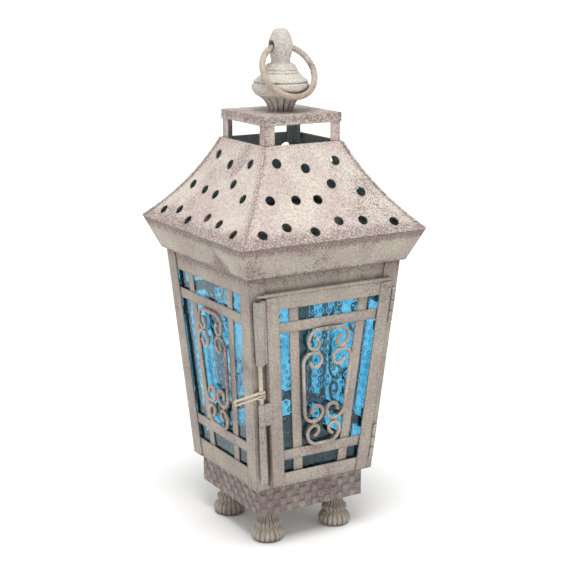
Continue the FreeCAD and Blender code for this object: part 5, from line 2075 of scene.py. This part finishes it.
@dataclass
class DropBolt:
    """Rod with a hairpin handle, its two sleeves on the door and its keeper on the post."""

    shop: Workshop
    line: DoorEdge = DoorEdge(-1.0, 6.0 * MM, 3.8 * MM)
    rod: float = 1.5 * MM
    rod_low: float = 54.6 * MM
    rod_high: float = 134.2 * MM
    handle: float = 81.0 * MM
    handle_wire: float = 1.0 * MM
    handle_heading: float = 183.5
    handle_arm: float = 20.4 * MM
    handle_bend: float = 1.5 * MM
    wrap_turns: float = 2.4
    wrap_drop: float = 4.2 * MM
    wrap_rise: float = 5.0 * MM
    upper_web: tuple[float, ...] = (2.2, 6.2, 102.6, 150.2)
    keeper_web: tuple[float, ...] = (-1.2, 1.2, 10.5, 54.0)
    flap: tuple[float, ...] = (1.6, 8.4, 54.6, 71.9)
    flap_radius: float = 2.3
    keeper_low: float = 10.0 * MM
    keeper_high: float = 54.2 * MM
    lower_low: float = 54.5 * MM
    lower_high: float = 72.0 * MM
    upper_low: float = 102.28 * MM
    upper_high: float = 150.48 * MM
    bore: float = 1.75 * MM
    crease: float = 0.09

    def build(self) -> None:
        """Makes the bolt, the sleeves and the keeper."""
        paint = self.shop.paint
        keep("drop_rod_with_hairpin", joined("rod", self._bolt()), Body.BOLT, Slot.STEEL, ["door_bolt"])
        upper = [
            self._rolled(self.upper_low, self.upper_high, (3.2, 3.2, 0.4), (4.6, 3.3, 1.0), paint.sleeve),
            self._prism("web", self._strip(*self.upper_web), -0.8, 0.8, paint.sleeve),
        ]
        keep("rolled_upper_sleeve", joined("sleeve", upper), Body.DOOR, Slot.SHEET, ["upper_bolt_sleeve"])
        lower = [
            self._rolled(self.lower_low, self.lower_high, (2.45, 2.4, 0.0), (2.45, 2.4, 0.0), paint.sleeve),
            self._prism("flap", self._flap(), 0.72, 1.4, paint.sleeve),
        ]
        keep("lower_sleeve_with_flap", joined("sleeve", lower), Body.DOOR, Slot.SHEET, ["lower_bolt_sleeve"])
        keeper = [
            self._rolled(
                self.keeper_low, self.keeper_high, (2.75, 2.4, 0.0), (2.6, 2.35, 0.0), paint.sleeve, True
            ),
            self._prism("web", self._strip(*self.keeper_web), -4.1, -1.6, paint.sheet),
        ]
        keep("rolled_keeper_tube", joined("keeper", keeper), Body.HOUSING, Slot.SHEET, ["bolt_keeper"])

    def _bolt(self) -> list[bpy.types.Mesh]:
        """Makes the rod, the hairpin and its wraps.

        Returns:
            Their meshes.
        """
        wire, paint = self.shop.trees.wire, self.shop.paint.hairpin
        count = 160
        step = (self.rod_high - self.rod_low) / count
        rod = polyline([self.line.place(0.0, self.rod_low + step * i, 0.0) for i in range(count + 1)])
        arm = (self.handle_arm,)
        pin = bent_path(
            (0.0, 0.0), self.handle_heading, [arm, (self.handle_bend, 180.0), arm], 0.3 * MM
        )
        hairpin = polyline([self.line.place(x, self.handle + y, 0.0) for x, y in pin])
        coil, parts = self.rod + self.handle_wire * 0.8, 90
        wraps = []
        for i in range(parts + 1):
            angle = math.tau * self.wrap_turns * i / parts - math.pi / 2
            up = self.handle - self.wrap_drop + self.wrap_rise * i / parts
            wraps.append(self.line.place(coil * math.sin(angle), up, coil * math.cos(angle)))
        strands = (
            (rod, self.rod, 0.5 * MM, 18, 0.06, 200.0),
            (hairpin, self.handle_wire, 0.4 * MM, 14, 0.14, 300.0),
            (polyline(wraps), 0.8 * self.handle_wire, 0.35 * MM, 12, 0.14, 300.0),
        )
        return [
            wire.make(
                strand, paint, Wire_radius=radius, Spacing=gap, Sides=sides, Unevenness=uneven, Grain=grain
            )
            for strand, radius, gap, sides, uneven, grain in strands
        ]

    @staticmethod
    def _strip(left: float, right: float, low: float, high: float) -> list[Point2]:
        """Outline of an upright strip, anticlockwise.

        Args:
            left: its left edge.
            right: its right edge.
            low: its lower end.
            high: its upper end.

        Returns:
            Its corners, in the unit given.
        """
        return [(left, low), (right, low), (right, high), (left, high)]

    def _flap(self) -> list[Point2]:
        """Outline of the lower sleeve's flap on the door.

        Returns:
            Corners in millimetres, anticlockwise, with the upper right one rounded.
        """
        (left, right, low, high), radius, parts = self.flap, self.flap_radius, 8
        outline = [(left, low), (right, low)]
        for i in range(parts + 1):
            angle = math.radians(90.0 * i / parts)
            outline.append(
                (right - radius + radius * math.cos(angle), high - radius + radius * math.sin(angle))
            )
        return [*outline, (left, high)]

    def _prism(
        self, name: str, outline: Sequence[Point2], back: float, front: float, finish: bpy.types.Material
    ) -> bpy.types.Mesh:
        """Makes a flat piece beside the bolt's line.

        Args:
            name: what it is.
            outline: corners in millimetres.
            back: back's height from the line in millimetres.
            front: front's height from the line in millimetres.
            finish: its material.

        Returns:
            The mesh.
        """
        shape = bmesh.new()
        add_prism(
            shape, [(x * MM, y * MM) for x, y in outline], self.line.place, back * MM, front * MM, 0.15 * MM
        )
        return to_mesh(name, shape, finish)

    def _rolled(
        self, low: float, high: float, below: tuple[float, ...], above: tuple[float, ...],
        finish: bpy.types.Material, closed: bool = False,
    ) -> bpy.types.Mesh:
        """Makes a hand-rolled tube on the bolt's line.

        Args:
            low: height of its lower end.
            high: height of its upper end.
            below: half width, half depth and shift to the right at the lower end, in millimetres.
            above: the same at the upper end.
            finish: its material.
            closed: whether the lower end is domed over.

        Returns:
            The mesh.
        """
        shape = bmesh.new()
        around, count = 40, max(12, round((high - low) / (0.9 * MM)))
        stations: list[tuple[float, float]] = []
        if closed:
            stations += [(low - below[0] * MM * math.cos(a), math.sin(a)) for a in (0.25, 0.55, 0.85, 1.2)]
        stations += [(low + (high - low) * i / count, 1.0) for i in range(count + 1)]
        stations[-1] = (high - 0.25 * MM, 1.0)
        stations.append((high, 0.93))
        if not closed:
            stations[0] = (low + 0.25 * MM, 1.0)
            stations.insert(0, (low, 0.93))
        outer = []
        for along, scale in stations:
            share = min(1.0, max(0.0, (along - low) / (high - low)))
            wide, deep, aside = (MM * (a + (b - a) * share) for a, b in zip(below, above))
            ring = []
            for k in range(around):
                angle = math.tau * k / around
                dent = 1.0 + 0.05 * noise.noise(Vector((math.cos(angle), math.sin(angle), along * 110.0)))
                dent -= self.crease * math.exp(-(((angle - 0.95) / 0.14) ** 2))
                across = aside + wide * dent * scale * math.cos(angle)
                off = deep * dent * scale * math.sin(angle)
                ring.append(shape.verts.new(self.line.place(across, along, off)))
            outer.append(ring)
        depth = stations[-1][0] - (0.5 * MM if closed else 0.0)
        levels = (depth + 0.5 * MM, depth - 12.0 * MM) if closed else (high, low)
        inner = [
            [
                shape.verts.new(
                    self.line.place(
                        self.bore * math.cos(math.tau * k / around),
                        level,
                        self.bore * math.sin(math.tau * k / around),
                    )
                )
                for k in range(around)
            ]
            for level in levels
        ]
        rings = outer + inner
        for before, after in zip(rings, rings[1:]):
            for k in range(around):
                n = (k + 1) % around
                shape.faces.new((before[k], before[n], after[n], after[k]))
        if closed:
            shape.faces.new(inner[-1])
            shape.faces.new(outer[0])
        else:
            for k in range(around):
                n = (k + 1) % around
                shape.faces.new((inner[-1][k], inner[-1][n], outer[0][n], outer[0][k]))
        bmesh.ops.recalc_face_normals(shape, faces=shape.faces)
        return to_mesh("rolled", shape, finish)


# ---------------------------------------------------------------------- studio


@dataclass
class Studio:
    """Pale floor, soft light and the camera."""

    camera_place: tuple[float, float, float] = (-0.5218, -0.8810, 0.4365)
    camera_turn: tuple[float, float, float] = (math.radians(76.16), 0.0, math.radians(-31.02))
    lens: float = 86.2
    sensor: float = 36.0
    sight: float = 100.0
    floor_size: float = 30.0
    surround: float = 0.76
    lamp_height: float = 72.0
    lamp_azimuth: float = -28.0
    lamp_spread: float = 24.0
    lamp_power: float = 0.64 * math.pi

    def build(self) -> None:
        """Sets up the studio."""
        scene = bpy.context.scene
        scene.view_settings.view_transform = "Standard"
        self._floor()
        self._world()
        self._lamp()
        camera = bpy.data.cameras.new("camera")
        camera.lens, camera.sensor_width, camera.clip_end = self.lens, self.sensor, self.sight
        viewer = bpy.data.objects.new("camera", camera)
        viewer.location, viewer.rotation_euler = self.camera_place, self.camera_turn
        scene.collection.objects.link(viewer)
        scene.camera = viewer

    def _floor(self) -> None:
        """Lays the floor."""
        half = self.floor_size / 2
        mesh = bpy.data.meshes.new("studio_floor")
        mesh.from_pydata(
            [(-half, -half, 0), (half, -half, 0), (half, half, 0), (-half, half, 0)], [], [(0, 1, 2, 3)]
        )
        mesh.materials.append(StudioPaper().material())
        floor = bpy.data.objects.new("studio_floor", mesh)
        bpy.context.scene.collection.objects.link(floor)

    def _world(self) -> None:
        """Sets an even white surround."""
        world = bpy.data.worlds.new("white_surround")
        world.use_nodes = True
        background = world.node_tree.nodes["Background"]
        background.inputs["Color"].default_value = (1.0, 1.0, 1.0, 1.0)
        background.inputs["Strength"].default_value = self.surround
        bpy.context.scene.world = world

    def _lamp(self) -> None:
        """Hangs the one wide, soft lamp far overhead."""
        data = bpy.data.lights.new("overhead_light", "SUN")
        data.energy, data.angle = self.lamp_power, math.radians(self.lamp_spread)
        lamp = bpy.data.objects.new("overhead_light", data)
        lamp.rotation_euler = (math.radians(90.0 - self.lamp_height), 0.0, math.radians(self.lamp_azimuth))
        bpy.context.scene.collection.objects.link(lamp)


def window_scrolls(shop: Workshop) -> list[Scrollwork]:
    """Lists the scrollwork of the four windows.

    Args:
        shop: what they are made with.

    Returns:
        One for each window.
    """
    low, high = 32.0 * MM, BODY.slant - 32.8 * MM
    windows = [
        Scrollwork(shop, side, "scrollwork_" + side.word, Body.HOUSING, low, high, 0.0, 0.5 * MM)
        for side in (Side.RIGHT, Side.BACK, Side.LEFT)
    ]
    windows.append(
        Scrollwork(shop, Side.FRONT, "door_scrollwork", Body.DOOR, 27.5 * MM, 127.48 * MM, 1.5 * MM, 5.0 * MM)
    )
    return windows


def main() -> None:
    """Builds the lantern and its studio."""
    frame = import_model()
    shop = Workshop(frame, PaintShop(), Trees())
    parts = [
        SheetBody(shop), BaseBand(shop), BunFeet(shop), PiercedRoof(shop), Finial(shop), HangingRing(shop),
        Glazing(shop), WindowBars(shop), *window_scrolls(shop), Door(shop), DropBolt(shop),
    ]
    for part in parts:
        part.build()
    Studio().build()


if __name__ == "__main__":
    logging.basicConfig(level=logging.INFO, format="%(message)s")
    main()
